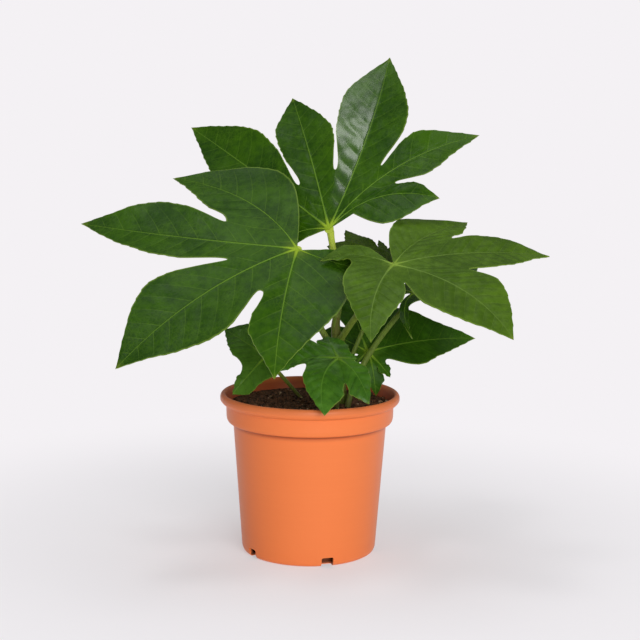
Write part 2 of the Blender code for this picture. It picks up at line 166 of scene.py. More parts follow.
class Shader:
    """The node tree of a material or of the world, filled in by calls."""

    def __init__(
        self, owner: bpy.types.Material | bpy.types.World, surface: str = "Principled BSDF"
    ) -> None:
        """Start from the nodes that the owner comes with.

        Args:
            owner: Material or world to fill.
            surface: Name of its own surface node.
        """
        owner.use_nodes = True
        self.owner = owner
        self.tree = owner.node_tree
        self.surface = self.tree.nodes[surface]

    @classmethod
    def named(cls, name: str) -> "Shader":
        """Shader of a new material."""
        return cls(bpy.data.materials.new(name))

    def node(
        self, kind: str, settings: dict | None = None, inputs: dict | None = None
    ) -> bpy.types.Node:
        """Add a node, set it up, then fill its sockets.

        Args:
            kind: Node type.
            settings: Attributes, set first.
            inputs: Socket name or number to a Wire or a plain value.

        Returns:
            The new node.
        """
        made = self.tree.nodes.new(kind)
        for key, value in (settings or {}).items():
            setattr(made, key, value)
        self.fill(made, inputs or {})
        return made

    def fill(self, made: bpy.types.Node, inputs: dict) -> None:
        """Link Wires and set plain values on a node's sockets.

        Args:
            made: Node to fill.
            inputs: Socket name or number to a Wire or a plain value.
        """
        for key, value in inputs.items():
            socket = made.inputs[key]
            if isinstance(value, Wire):
                self.tree.links.new(value.socket, socket)
            elif isinstance(value, tuple) and len(value) == 3 and socket.type == "RGBA":
                socket.default_value = (*value, 1.0)
            else:
                socket.default_value = value

    def wire(
        self,
        kind: str,
        settings: dict | None = None,
        inputs: dict | None = None,
        output: int | str = 0,
    ) -> Wire:
        """Output of a new node.

        Args:
            kind: Node type.
            settings: Attributes to set.
            inputs: Socket values or Wires.
            output: Which output to read.

        Returns:
            The output as a Wire.
        """
        return Wire(self, self.node(kind, settings, inputs).outputs[output])

    def place(self) -> Wire:
        """Object coordinates."""
        return self.wire("ShaderNodeTexCoord", output="Object")

    def scaled(self, vector: Wire, factors: Point) -> Wire:
        """Vector with each axis multiplied.

        Args:
            vector: Vector to scale.
            factors: One factor for each axis.

        Returns:
            The scaled vector.
        """
        return self.wire(
            "ShaderNodeVectorMath", {"operation": "MULTIPLY"}, {0: vector, 1: factors}
        )

    def split(self, vector: Wire) -> tuple[Wire, Wire, Wire]:
        """X, Y and Z of a vector."""
        made = self.node("ShaderNodeSeparateXYZ", None, {0: vector})
        return tuple(Wire(self, made.outputs[k]) for k in range(3))

    def uv(self, name: str) -> tuple[Wire, Wire]:
        """Both numbers of a UV map."""
        x, y, _ = self.split(self.wire("ShaderNodeUVMap", {"uv_map": name}))
        return x, y

    def distance(self, vector: Wire, point: Iterable[float]) -> Wire:
        """Distance from a fixed point, in millimetres."""
        settings, inputs = {"operation": "DISTANCE"}, {0: vector, 1: tuple(point)}
        return self.wire("ShaderNodeVectorMath", settings, inputs, "Value") / MM

    def grain(
        self, vector: Wire, scale: float, detail: float = 3.0, rough: float = 0.55
    ) -> Wire:
        """Noise from 0 to 1.

        Args:
            vector: Coordinates in metres.
            scale: Cells in a metre.
            detail: Octaves.
            rough: Weight of the finer octaves.

        Returns:
            The noise value.
        """
        return self.wire(
            "ShaderNodeTexNoise",
            None,
            {"Vector": vector, "Scale": scale, "Detail": detail, "Roughness": rough},
        )

    def cells(self, vector: Wire, scale: float, feature: str = "F1") -> Wire:
        """Voronoi distance.

        Args:
            vector: Coordinates in metres.
            scale: Cells in a metre.
            feature: Which distance to give.

        Returns:
            The distance, in cells.
        """
        return self.wire(
            "ShaderNodeTexVoronoi",
            {"feature": feature},
            {"Vector": vector, "Scale": scale},
            "Distance",
        )

    def mix(self, share: Wire | float, first: Wire | Colour, second: Wire | Colour) -> Wire:
        """Colour between two colours.

        Args:
            share: 0 for the first, 1 for the second.
            first: Colour at 0.
            second: Colour at 1.

        Returns:
            The mixed colour.
        """
        return self.wire(
            "ShaderNodeMix",
            {"data_type": "RGBA", "clamp_factor": True},
            {0: share, 6: first, 7: second},
            2,
        )

    def finish(
        self, bump: Wire | None = None, depth: float = 0.0, **sockets: Wire | float
    ) -> bpy.types.Material:
        """Feed the surface and give the material.

        Args:
            bump: Relief height from 0 to 1, or none.
            depth: Height of the relief in millimetres.
            sockets: Surface sockets, spaces written as underscores.

        Returns:
            The material.
        """
        self.fill(self.surface, {key.replace("_", " "): value for key, value in sockets.items()})
        if bump is not None:
            inputs = {"Height": bump, "Strength": 1.0, "Distance": depth * MM}
            self.fill(self.surface, {"Normal": self.wire("ShaderNodeBump", None, inputs)})
        return self.owner

    def show_between(self, share: Wire, first: Wire, second: Wire) -> None:
        """Send a mix of two surfaces to the output.

        Args:
            share: 0 for the first, 1 for the second.
            first: Surface at 0.
            second: Surface at 1.
        """
        blend = self.wire("ShaderNodeMixShader", None, {0: share, 1: first, 2: second})
        self.fill(self.tree.get_output_node("ALL"), {"Surface": blend})


# Finishes: scales are in cells a metre, and widths, reaches and reliefs in millimetres


@dataclass(frozen=True)
class BladeFinish:
    """Glossy upper face of a leaf blade, with its veins."""

    deep: Colour = (0.010, 0.040, 0.001)
    fresh: Colour = (0.029, 0.084, 0.001)
    vein: Colour = (0.110, 0.210, 0.018)
    hub: Colour = (0.230, 0.340, 0.020)
    tip: Colour = (0.240, 0.300, 0.030)
    margin: Colour = (0.170, 0.260, 0.034)
    net: Colour = (0.070, 0.148, 0.008)
    cloud_scale: float = 30.0
    mottle_scale: float = 230.0
    patch_scale: float = 34.0
    net_scale: float = 330.0
    fine_scale: float = 820.0
    gloss_scale: float = 70.0
    rib_width: float = 0.62
    rib_least: float = 0.10
    rib_taper: float = 0.7
    rib_fade: float = 0.5
    rib_swell: float = 0.55
    rib_swell_reach: float = 16.0
    side_start: float = 0.90
    side_strength: float = 0.30
    crest_strength: float = 0.20
    net_strength: float = 0.28
    margin_start: float = 0.955
    margin_strength: float = 0.55
    tip_strength: float = 0.3
    hub_reach: float = 12.0
    hub_core: float = 4.0
    hub_glow: float = 0.45
    roughness: float = 0.30
    specular: float = 0.08
    coat: float = 0.0
    coat_roughness: float = 0.24
    wax_polish: float = 0.10
    wax_cover: float = 0.85
    relief: float = 0.22

    def make(self, name: str, hub: Vector) -> bpy.types.Material:
        """Build the material.

        Args:
            name: Name of the material.
            hub: Place of the hub, in metres.

        Returns:
            The finished material.
        """
        shade = Shader.named(name)
        place = shade.place()
        across, along = shade.uv("ribs")
        phase, edge = shade.uv("veins")
        wax, _ = shade.uv("wax")
        reach = shade.distance(place, hub)
        swell = reach.step(self.rib_swell_reach, 2.0) * self.rib_swell
        thick = (1 - along * self.rib_taper) * self.rib_width + swell + self.rib_least
        rib = (across / thick).step(1.0, 0.5)
        wave = phase.zigzag()
        side = wave.step(self.side_start, 1.0) * (1 - edge * 0.7)
        patch = shade.grain(place, self.patch_scale).step(0.42, 0.66)
        net = shade.cells(place, self.net_scale, "DISTANCE_TO_EDGE")
        fine = shade.cells(place, self.fine_scale, "DISTANCE_TO_EDGE")
        lines = net.step(0.12, 0.0) * 0.6 + fine.step(0.14, 0.0) * 0.4
        mottle = shade.grain(place, self.mottle_scale, 2)
        cloud = shade.grain(place, self.cloud_scale) * 0.65 + mottle * 0.35
        tissue = shade.mix(cloud.step(0.38, 0.64), self.deep, self.fresh)
        tissue = shade.mix((1 - wave) * self.crest_strength, tissue, self.fresh)
        tissue = shade.mix(lines * (patch + 0.25) * self.net_strength, tissue, self.net)
        tissue = shade.mix(side * self.side_strength, tissue, self.vein)
        tissue = shade.mix(rib * (0.9 - along * self.rib_fade), tissue, self.vein)
        glow = reach.step(self.hub_reach, 2.0) * self.hub_glow
        tissue = shade.mix((rib * 0.9 + 0.22) * glow, tissue, self.hub)
        tissue = shade.mix(reach.step(self.hub_core, 1.8) * 0.8 * self.hub_glow, tissue, self.hub)
        rim = edge.step(self.margin_start, 0.995) * self.margin_strength
        tissue = shade.mix(rim, tissue, self.margin)
        point = along.step(self.margin_start, 1.0) * self.tip_strength
        tissue = shade.mix(point, tissue, self.tip)
        height = net.step(0.0, 0.5) * 0.45 + fine * 0.2 + rib * 0.7 - side * 0.35
        gloss = shade.grain(place, self.gloss_scale, 2) * 0.16 + lines * 0.05 + rib * 0.08
        return shade.finish(
            height * 0.5 + 0.3,
            self.relief,
            Base_Color=tissue,
            Roughness=gloss + self.roughness - wax * self.wax_polish,
            Coat_Weight=wax * (gloss + self.wax_cover) + self.coat,
            Coat_Roughness=self.coat_roughness,
            Specular_IOR_Level=self.specular,
        )


@dataclass(frozen=True)
class UndersideFinish:
    """Paler and duller lower face of a leaf blade."""

    tissue: Colour = (0.105, 0.190, 0.055)
    vein: Colour = (0.270, 0.360, 0.110)
    cloud_scale: float = 40.0
    net_scale: float = 330.0
    rib_width: float = 1.3
    rib_taper: float = 0.75
    side_start: float = 0.82
    roughness: float = 0.62
    specular: float = 0.25
    relief: float = 0.35

    def make(self, name: str) -> bpy.types.Material:
        """Build the material.

        Args:
            name: Name of the material.

        Returns:
            The finished material.
        """
        shade = Shader.named(name)
        place = shade.place()
        across, along = shade.uv("ribs")
        phase, edge = shade.uv("veins")
        rib = (across / ((1 - along * self.rib_taper) * self.rib_width + 0.15)).step(1.0, 0.5)
        side = phase.zigzag().step(self.side_start, 1.0) * (1 - edge * 0.6)
        net = shade.cells(place, self.net_scale, "DISTANCE_TO_EDGE")
        cloud = shade.grain(place, self.cloud_scale).step(0.3, 0.7)
        tissue = shade.mix(cloud * 0.4, self.tissue, self.vein)
        tissue = shade.mix(net.step(0.12, 0.0) * 0.3, tissue, self.vein)
        tissue = shade.mix(rib.top(side * 0.6), tissue, self.vein)
        return shade.finish(
            rib * 0.6 + side * 0.4 + net.step(0.2, 0.0) * 0.25,
            self.relief,
            Base_Color=tissue,
            Roughness=self.roughness,
            Specular_IOR_Level=self.specular,
        )


@dataclass(frozen=True)
class StalkFinish:
    """Smooth green leaf stalk that turns yellow-green under the blade."""

    body: Colour = (0.150, 0.210, 0.025)
    streak: Colour = (0.095, 0.130, 0.016)
    crown: Colour = (0.340, 0.420, 0.040)
    foot: Colour = (0.100, 0.075, 0.030)
    speck: Colour = (0.250, 0.310, 0.070)
    streak_scales: Point = (900.0, 900.0, 60.0)
    speck_scale: float = 1100.0
    crown_reach: float = 34.0
    foot_top: float = 112.0
    foot_bottom: float = 99.0
    roughness: float = 0.42
    specular: float = 0.2
    relief: float = 0.18

    def make(self, name: str, hub: Vector) -> bpy.types.Material:
        """Build the material.

        Args:
            name: Name of the material.
            hub: Place where the stalk meets its blade, in metres.

        Returns:
            The finished material.
        """
        shade = Shader.named(name)
        place = shade.place()
        streaks = shade.grain(shade.scaled(place, self.streak_scales), 1.0)
        specks = shade.cells(place, self.speck_scale)
        tone = shade.mix(streaks.step(0.35, 0.7), self.body, self.streak)
        crown = shade.distance(place, hub).step(self.crown_reach, 4.0)
        tone = shade.mix(crown, tone, self.crown)
        _, _, z = shade.split(place)
        foot = (z / MM).step(self.foot_top, self.foot_bottom)
        tone = shade.mix(foot * 0.6, tone, self.foot)
        tone = shade.mix(specks.step(0.18, 0.05) * 0.4, tone, self.speck)
        return shade.finish(
            streaks * 0.7 + specks.step(0.25, 0.0) * 0.3,
            self.relief,
            Base_Color=tone,
            Roughness=streaks * 0.2 + self.roughness,
            Specular_IOR_Level=self.specular,
        )


@dataclass(frozen=True)
class BarkFinish:
    """Brownish green skin of the young main stem."""

    skin: Colour = (0.110, 0.165, 0.018)
    cork: Colour = (0.105, 0.105, 0.018)
    dot: Colour = (0.220, 0.210, 0.070)
    streak_scales: Point = (700.0, 700.0, 120.0)
    dot_scales: Point = (620.0, 620.0, 310.0)
    roughness: float = 0.45
    specular: float = 0.15
    relief: float = 0.35

    def make(self, name: str) -> bpy.types.Material:
        """Build the material.

        Args:
            name: Name of the material.

        Returns:
            The finished material.
        """
        shade = Shader.named(name)
        place = shade.place()
        streaks = shade.grain(shade.scaled(place, self.streak_scales), 1.0, 4)
        dots = shade.cells(shade.scaled(place, self.dot_scales), 1.0)
        tone = shade.mix(streaks.step(0.38, 0.62), self.skin, self.cork)
        tone = shade.mix(dots.step(0.22, 0.08) * 0.45, tone, self.dot)
        return shade.finish(
            streaks * 0.5 + dots.step(0.3, 0.0) * 0.5,
            self.relief,
            Base_Color=tone,
            Roughness=streaks * 0.25 + self.roughness,
            Specular_IOR_Level=self.specular,
        )


@dataclass(frozen=True)
class PlasticFinish:
    """Satin terracotta-coloured plastic with faint turning lines."""

    colour: Colour = (0.715, 0.178, 0.048)
    shaded: Colour = (0.630, 0.140, 0.034)
    scuffed: Colour = (0.860, 0.420, 0.220)
    # Painted shade: darker tone for the top of the rim.
    painted_rim_shade: Colour = (0.420, 0.120, 0.045)
    # Painted shade: near black for the drain slots near the bottom.
    painted_slot_shade: Colour = (0.040, 0.010, 0.005)
    # Painted shade: dark red-brown for the inner wall above the soil.
    painted_inner_shade: Colour = (0.330, 0.062, 0.020)
    turning_scales: Point = (4.0, 4.0, 520.0)
    broad_scales: Point = (9.0, 9.0, 60.0)
    scuff_scales: Point = (160.0, 160.0, 900.0)
    pebble_scale: float = 2600.0
    inside_radius: float = 54.6
    inside_height: float = 84.0
    inside_taper: float = 0.10
    rim_shade_height: float = 102.0
    drain_inner: float = 36.4
    drain_outer: float = 43.9
    drain_height: float = 8.0
    roughness: float = 0.31
    specular: float = 0.22
    relief: float = 0.03

    def make(self, name: str) -> bpy.types.Material:
        """Build the material.

        Args:
            name: Name of the material.

        Returns:
            The finished material.
        """
        shade = Shader.named(name)
        place = shade.place()
        turning = shade.grain(shade.scaled(place, self.turning_scales), 1.0, 4, 0.6)
        broad = shade.grain(shade.scaled(place, self.broad_scales), 1.0, 2)
        pebble = shade.grain(place, self.pebble_scale, 2)
        scuff = shade.grain(shade.scaled(place, self.scuff_scales), 1.0)
        shadow = turning.step(0.3, 0.75) * 0.09 + broad * 0.16
        tone = shade.mix(shadow, self.colour, self.shaded)
        tone = shade.mix(scuff.step(0.68, 0.80) * 0.10, tone, self.scuffed)
        radius = shade.distance(shade.scaled(place, (1.0, 1.0, 0.0)), (0.0, 0.0, 0.0))
        _, _, z = shade.split(place)
        height = z / MM
        # Painted shade: the top of the rim is mixed unevenly towards a darker tone.
        rim_shade_share = height.step(self.rim_shade_height, self.rim_shade_height + 2.5) * (broad * 0.5 + 0.15)
        tone = shade.mix(rim_shade_share, tone, self.painted_rim_shade)
        # Painted shade: the inner wall above the soil is mixed towards a dark red-brown.
        inner = (radius - (height - self.inside_height) * self.inside_taper).step(
            self.inside_radius, self.inside_radius - 1.0
        )
        inner = inner * height.step(self.inside_height, self.inside_height + 4.0)
        tone = shade.mix(inner * 0.9, tone, self.painted_inner_shade)
        # Painted shade: the drain slots near the bottom of the pot are mixed towards near black.
        drain = radius.step(self.drain_outer, self.drain_outer - 0.8)
        drain = drain * radius.step(self.drain_inner, self.drain_inner + 0.8)
        drain = drain * height.step(0.2, 0.8)
        drain = drain * height.step(self.drain_height, self.drain_height - 1.2)
        tone = shade.mix(drain * 0.85, tone, self.painted_slot_shade)
        rough = turning * 0.06 + pebble * 0.10 + scuff.step(0.66, 0.8) * 0.08
        return shade.finish(
            turning * 0.4 + pebble * 0.6,
            self.relief,
            Base_Color=tone,
            Roughness=rough + self.roughness,
            Specular_IOR_Level=self.specular,
        )


@dataclass(frozen=True)
class EarthFinish:
    """Moist dark potting earth."""

    dark: Colour = (0.024, 0.011, 0.005)
    brown: Colour = (0.150, 0.066, 0.032)
    pale: Colour = (0.300, 0.170, 0.100)
    coarse_scale: float = 260.0
    lump_scale: float = 520.0
    fibre_scales: Point = (1500.0, 300.0, 900.0)
    roughness: float = 0.72
    specular: float = 0.15
    relief: float = 1.1

    def make(self, name: str) -> bpy.types.Material:
        """Build the material.

        Args:
            name: Name of the material.

        Returns:
            The finished material.
        """
        shade = Shader.named(name)
        place = shade.place()
        coarse = shade.grain(place, self.coarse_scale, 5, 0.65)
        lumps = shade.cells(place, self.lump_scale)
        fibres = shade.grain(shade.scaled(place, self.fibre_scales), 1.0)
        tone = shade.mix(coarse.step(0.35, 0.68), self.dark, self.brown)
        tone = shade.mix(lumps.step(0.55, 0.15) * 0.35, tone, self.brown)
        tone = shade.mix(fibres.step(0.66, 0.76) * 0.55, tone, self.pale)
        return shade.finish(
            coarse * 0.6 + lumps.step(0.7, 0.0) * 0.4,
            self.relief,
            Base_Color=tone,
            Roughness=coarse * 0.2 + self.roughness,
            Specular_IOR_Level=self.specular,
        )


@dataclass(frozen=True)
class CrumbFinish:
    """Paler crumbs and fibres that lie on the earth."""

    tone: Colour = (0.210, 0.115, 0.060)
    light: Colour = (0.440, 0.320, 0.210)
    patch_scale: float = 420.0
    roughness: float = 0.7
    specular: float = 0.2
    relief: float = 0.5

    def make(self, name: str) -> bpy.types.Material:
        """Build the material.

        Args:
            name: Name of the material.

        Returns:
            The finished material.
        """
        shade = Shader.named(name)
        patch = shade.grain(shade.place(), self.patch_scale)
        return shade.finish(
            patch,
            self.relief,
            Base_Color=shade.mix(patch.step(0.42, 0.62), self.tone, self.light),
            Roughness=patch * 0.2 + self.roughness,
            Specular_IOR_Level=self.specular,
        )


@dataclass(frozen=True)
class FloorFinish:
    """Pale matt floor that melts into the background far from the pot."""

    colour: Colour = (0.900, 0.880, 0.905)
    worn: Colour = (0.880, 0.860, 0.885)
    far: Colour = (0.905, 0.880, 0.905)
    patch_scale: float = 3.0
    near_reach: float = 70.0
    far_reach: float = 420.0
    least_glow: float = 0.45
    roughness: float = 0.8
    specular: float = 0.1

    def make(self, name: str) -> bpy.types.Material:
        """Build the material.

        Args:
            name: Name of the material.

        Returns:
            The finished material.
        """
        shade = Shader.named(name)
        place = shade.place()
        tone = shade.mix(shade.grain(place, self.patch_scale, 2) * 0.25, self.colour, self.worn)
        made = shade.finish(
            Base_Color=tone, Roughness=self.roughness, Specular_IOR_Level=self.specular
        )
        glow = shade.wire("ShaderNodeEmission", None, {"Color": self.far, "Strength": 1.0})
        reach = shade.distance(place, (0.0, 0.0, 0.0)).step(self.near_reach, self.far_reach)
        share = reach * (1 - self.least_glow) + self.least_glow
        shade.show_between(share, Wire(shade, shade.surface.outputs[0]), glow)
        return made


# Mesh tools


def smooth(mesh: bpy.types.Mesh, sharp: float) -> None:
    """Shade a mesh smooth but for edges past this angle in degrees."""
    mesh.shade_smooth()
    mesh.set_sharp_from_angle(angle=math.radians(sharp))


def to_object(
    name: str, bm: bmesh.types.BMesh, finishes: Iterable[bpy.types.Material], sharp: float = 40.0
) -> bpy.types.Object:
    """Turn a bmesh into a smooth-shaded object in the scene.

    Args:
        name: Name of the object.
        bm: Mesh to use; it is freed.
        finishes: Materials for its slots.
        sharp: Angle in degrees past which an edge stays sharp.

    Returns:
        The new object.
    """
    mesh = bpy.data.meshes.new(name)
    bm.to_mesh(mesh)
    bm.free()
    for finish in finishes:
        mesh.materials.append(finish)
    smooth(mesh, sharp)
    made = bpy.data.objects.new(name, mesh)
    bpy.context.scene.collection.objects.link(made)
    return made


def applied(made: bpy.types.Object, sharp: float = 40.0) -> bpy.types.Object:
    """Apply every modifier of an object to its mesh.

    Args:
        made: Object to work on.
        sharp: Angle in degrees past which an edge stays sharp.

    Returns:
        The same object.
    """
    graph = bpy.context.evaluated_depsgraph_get()
    mesh = bpy.data.meshes.new_from_object(made.evaluated_get(graph))
    made.modifiers.clear()
    old, made.data = made.data, mesh
    bpy.data.meshes.remove(old)
    smooth(mesh, sharp)
    return made


def ring_frame(centre: Vector, heading: Vector, radius: float) -> Matrix:
    """Matrix that puts a unit circle at a place, square to a heading.

    Args:
        centre: Middle of the ring, in millimetres.
        heading: Direction the ring faces.
        radius: Radius in millimetres.

    Returns:
        The placing matrix, in metres.
    """
    along = heading.normalized()
    first = Vector((0.0, 1.0, 0.0)) - along * along.y
    if first.length < 0.2:
        first = Vector((1.0, 0.0, 0.0)) - along * along.x
    first.normalize()
    turn = Matrix((first, along.cross(first), along)).transposed().to_4x4()
    return Matrix.Translation(centre * MM) @ turn @ Matrix.Scale(radius * MM, 4)


def sweep(bm: bmesh.types.BMesh, rings: list[tuple[Vector, Vector, float]], sides: int) -> None:
    """Extrude a circle through rings and close both ends.

    Args:
        bm: Mesh to add to.
        rings: Centre, heading and radius of each ring, in millimetres.
        sides: Points on each ring.
    """
    placed = ring_frame(*rings[0])
    made = bmesh.ops.create_circle(bm, cap_ends=True, segments=sides, radius=1.0, matrix=placed)
    edges = list({edge for vert in made["verts"] for edge in vert.link_edges})
    for ring in rings[1:]:
        grown = bmesh.ops.extrude_edge_only(bm, edges=edges)["geom"]
        verts = [item for item in grown if isinstance(item, bmesh.types.BMVert)]
        following = ring_frame(*ring)
        bmesh.ops.transform(bm, matrix=following @ placed.inverted(), verts=verts)
        rim = set(verts)
        edges = [
            item
            for item in grown
            if isinstance(item, bmesh.types.BMEdge) and rim.issuperset(item.verts)
        ]
        placed = following
    bmesh.ops.holes_fill(bm, edges=edges, sides=0)
    bmesh.ops.recalc_face_normals(bm, faces=bm.faces)


def turned(profile: Iterable[Pair], steps: int) -> bmesh.types.BMesh:
    """Spin a profile about Z into a closed body.

    Args:
        profile: Radius and height of each point, in millimetres, from axis to axis.
        steps: Steps of the full turn.

    Returns:
        The mesh, facing outwards.
    """
    bm = bmesh.new()
    verts = [bm.verts.new((radius * MM, 0.0, z * MM)) for radius, z in profile]
    edges = [bm.edges.new(pair) for pair in zip(verts, verts[1:])]
    bmesh.ops.spin(
        bm,
        geom=verts + edges,
        cent=(0, 0, 0),
        axis=(0, 0, 1),
        angle=2 * math.pi,
        steps=steps,
        use_merge=True,
    )
    bmesh.ops.remove_doubles(bm, verts=bm.verts, dist=0.001 * MM)
    bmesh.ops.recalc_face_normals(bm, faces=bm.faces)
    return bm


def rounded(points: list[Pair], radius: float, steps: int = 3) -> list[Pair]:
    """Round the corners of a profile.

    Args:
        points: Radius and height of each corner.
        radius: Most that a corner is cut back, in millimetres.
        steps: Points on each rounded corner, less one.

    Returns:
        The finer profile.
    """
    made = [points[0]]
    for before, corner, after in zip(points, points[1:], points[2:]):
        b, c, a = Vector(before), Vector(corner), Vector(after)
        cut = min(radius, (b - c).length * 0.45, (a - c).length * 0.45)
        start, end = c + (b - c).normalized() * cut, c + (a - c).normalized() * cut
        for k in range(steps + 1):
            t = k / steps
            spot = start.lerp(c, t).lerp(c.lerp(end, t), t)
            made.append((spot.x, spot.y))
    made.append(points[-1])
    return made


# Leaves


class Grain(Enum):
    """Mesh fineness of a blade: rows to the gaps, rows beyond them, columns on each side."""

    LARGE = (18, 78, 15)
    SMALL = (12, 46, 11)


@dataclass(frozen=True)
class Lobe:
    """One lobe: bearing from the hub in degrees, sizes in millimetres.

    Right is the clockwise side seen from above. A side is widest at its full
    share of the free edge. The midrib bows sideways, arches up and drops at the
    tip, and a larger belly keeps the lobe broad for longer.
    """

    bearing: float
    length: float
    bow: float
    right: float
    left: float
    right_full: float
    left_full: float
    drop: float
    arch: float = 0.0
    belly: float = 1.6


@dataclass(frozen=True)
class Gap:
    """Bottom of a gap between lobes, the bow of its seam and the rounding of its sides."""

    bearing: float
    reach: float
    bow: float = 0.0
    hollow: float = 1.2


@dataclass
class LeafBlade:
    """A palmate leaf blade on the same lines as its solid.

    Lean is the bearing that the upper face turns to and tilt its angle from
    level, both in degrees. Cup is the rise for each millimetre off a midrib.
    Waxy gives the shine of the anticlockwise half of a lobe, by its number.
    """

    name: str
    hub: Point
    lean: float
    tilt: float
    cup: float
    waves: int
    lobes: tuple[Lobe, ...]
    gaps: tuple[Gap, ...]
    finish: BladeFinish
    grain: Grain = Grain.LARGE
    quilt: float = 0.22
    vein_pitch: float = 13.0
    saw_pitch: float = 6.5
    waxy: dict[int, float] = field(default_factory=dict)
    thickness: float = 0.62
    tooth: float = 0.45
    saw: float = 0.75
    saw_peak: float = 0.86
    saw_power: float = 1.4
    saw_at_ends: float = 0.7
    saw_onset: Pair = (0.22, 0.42)
    saw_end: float = 0.12
    wave: float = 0.8
    wave_phase: float = 2.1
    ripple: float = 0.9
    ripple_grain: float = 0.05
    patch: float = 0.55
    patch_grain: float = 0.16
    taper: float = 0.30
    start_share: float = 0.45
    start_limits: Pair = (0.06, 0.75)
    gap_power: float = 1.6
    gap_blend: float = 0.3
    side_power: float = 1.5
    hollow_reach: float = 0.4
    hollow_scale: float = 3.49
    vein_slant: float = 0.62
    vein_curve: float = 0.010
    rib_relief: float = 0.35
    rib_spread: float = 0.8
    crowding: float = 1.35
    wax_onset: Pair = (0.1, 0.7)
    wax_fade: Pair = (1.30, 1.75)
    wax_loss: float = 0.75

    def __post_init__(self) -> None:
        """Work out the leaf's own axes and the height of each gap."""
        lean, tilt = math.radians(self.lean), math.radians(self.tilt)
        self.centre = Vector(self.hub)
        self.normal = Vector(
            (math.sin(tilt) * math.cos(lean), math.sin(tilt) * math.sin(lean), math.cos(tilt))
        )
        self.level = Vector((-math.sin(lean), math.cos(lean), 0.0))
        self.uphill = self.normal.cross(self.level)
        self.corners = [self.polar(gap.bearing, gap.reach) for gap in self.gaps]
        self.corner_heights = [self.corner_height(k) for k in range(len(self.gaps))]

    @staticmethod
    def polar(bearing: float, reach: float) -> Vector:
        """Plan point at a bearing in degrees and a reach."""
        angle = math.radians(bearing)
        return Vector((reach * math.cos(angle), reach * math.sin(angle)))

    def axes(self, index: int) -> tuple[Vector, Vector]:
        """Directions along and across a lobe."""
        along = self.polar(self.lobes[index].bearing, 1.0)
        return along, Vector((-along.y, along.x))

    def seam(self, k: int, t: float) -> Vector:
        """Plan point on the line from the hub to a gap.

        Args:
            k: Which gap.
            t: Share of the way.

        Returns:
            The plan point.
        """
        corner = self.corners[k]
        across = Vector((-corner.y, corner.x)).normalized()
        return corner * t + across * arc(self.gaps[k].bow, t)

    def midrib(self, index: int, u: float) -> Vector:
        """Plan point on a lobe's midrib.

        Args:
            index: Which lobe.
            u: Share of the lobe's length.

        Returns:
            The plan point.
        """
        lobe = self.lobes[index]
        along, across = self.axes(index)
        return along * (lobe.length * u) + across * arc(lobe.bow, u)

    def rib_height(self, index: int, u: float) -> float:
        """Height of a lobe's midrib over the plane of the leaf."""
        lobe = self.lobes[index]
        return arc(lobe.arch, u) - lobe.drop * u * u

    def local(self, index: int, point: Vector) -> Point:
        """Place of a plan point as seen from a lobe.

        Args:
            index: Which lobe.
            point: The plan point.

        Returns:
            Reach along the lobe, offset from its midrib, and the reach's share.
        """
        lobe = self.lobes[index]
        along, across = self.axes(index)
        reach = point.dot(along)
        u = clamp(reach / lobe.length)
        return reach, point.dot(across) - arc(lobe.bow, u), u

    def corner_height(self, k: int) -> float:
        """Height at the bottom of a gap, between what its lobes ask for.

        Args:
            k: Which gap.

        Returns:
            The height over the plane of the leaf.
        """
        heights = []
        for index in (k - 1, k):
            if 0 <= index < len(self.lobes):
                _, offset, u = self.local(index, self.corners[k])
                heights.append(self.rib_height(index, u) + self.cup * abs(offset))
        return sum(heights) / len(heights)

    def start(self, index: int) -> float:
        """Share of the midrib that lies inside the gaps on both sides.

        Args:
            index: Which lobe.

        Returns:
            The share of the lobe's length.
        """
        reaches = [self.local(index, self.corners[k])[0] for k in (index, index + 1)]
        share = self.start_share * sum(reaches) / self.lobes[index].length
        return clamp(share, *self.start_limits)

    def half_width(
        self, q: float, at_gap: float, widest: float, fullest: float, belly: float
    ) -> float:
        """Width from the midrib to the margin, without the teeth.

        Args:
            q: Share of the free edge, from the gap to the tip.
            at_gap: Width at the gap.
            widest: Largest width.
            fullest: Share of the free edge at which it is reached.
            belly: How long the lobe stays broad beyond it.

        Returns:
            The width in millimetres.
        """
        if q < fullest:
            return at_gap + (widest - at_gap) * math.sin(0.5 * math.pi * q / fullest)
        t = (q - fullest) / (1 - fullest)
        return widest * (1 - t**belly) * (1 - self.taper * t * t)

    def teeth(self, q: float, length: float, bare: bool) -> float:
        """Width that the waved and toothed edge adds at share q of the free edge.

        Args:
            q: Share of the free edge, from the gap to the tip.
            length: Length of the free edge in millimetres.
            bare: Whether the edge is one of the two at the ends of the leaf.

        Returns:
            The added width in millimetres.
        """
        swell = 1 - abs(2 * (q * self.waves / 2 % 1.0) - 1)
        broad = self.tooth * swell * clamp(6 * (1 - q)) * clamp(5 * q - 0.5)
        phase = q * max(3, round(length / self.saw_pitch)) % 1.0
        point = phase**self.saw_power
        if phase >= self.saw_peak:
            point = (1 - phase) / (1 - self.saw_peak) * self.saw_peak**self.saw_power
        window = ease(q, *self.saw_onset) * ease(1 - q, 0.0, self.saw_end)
        return broad + self.saw * point * window * (self.saw_at_ends if bare else 1.0)

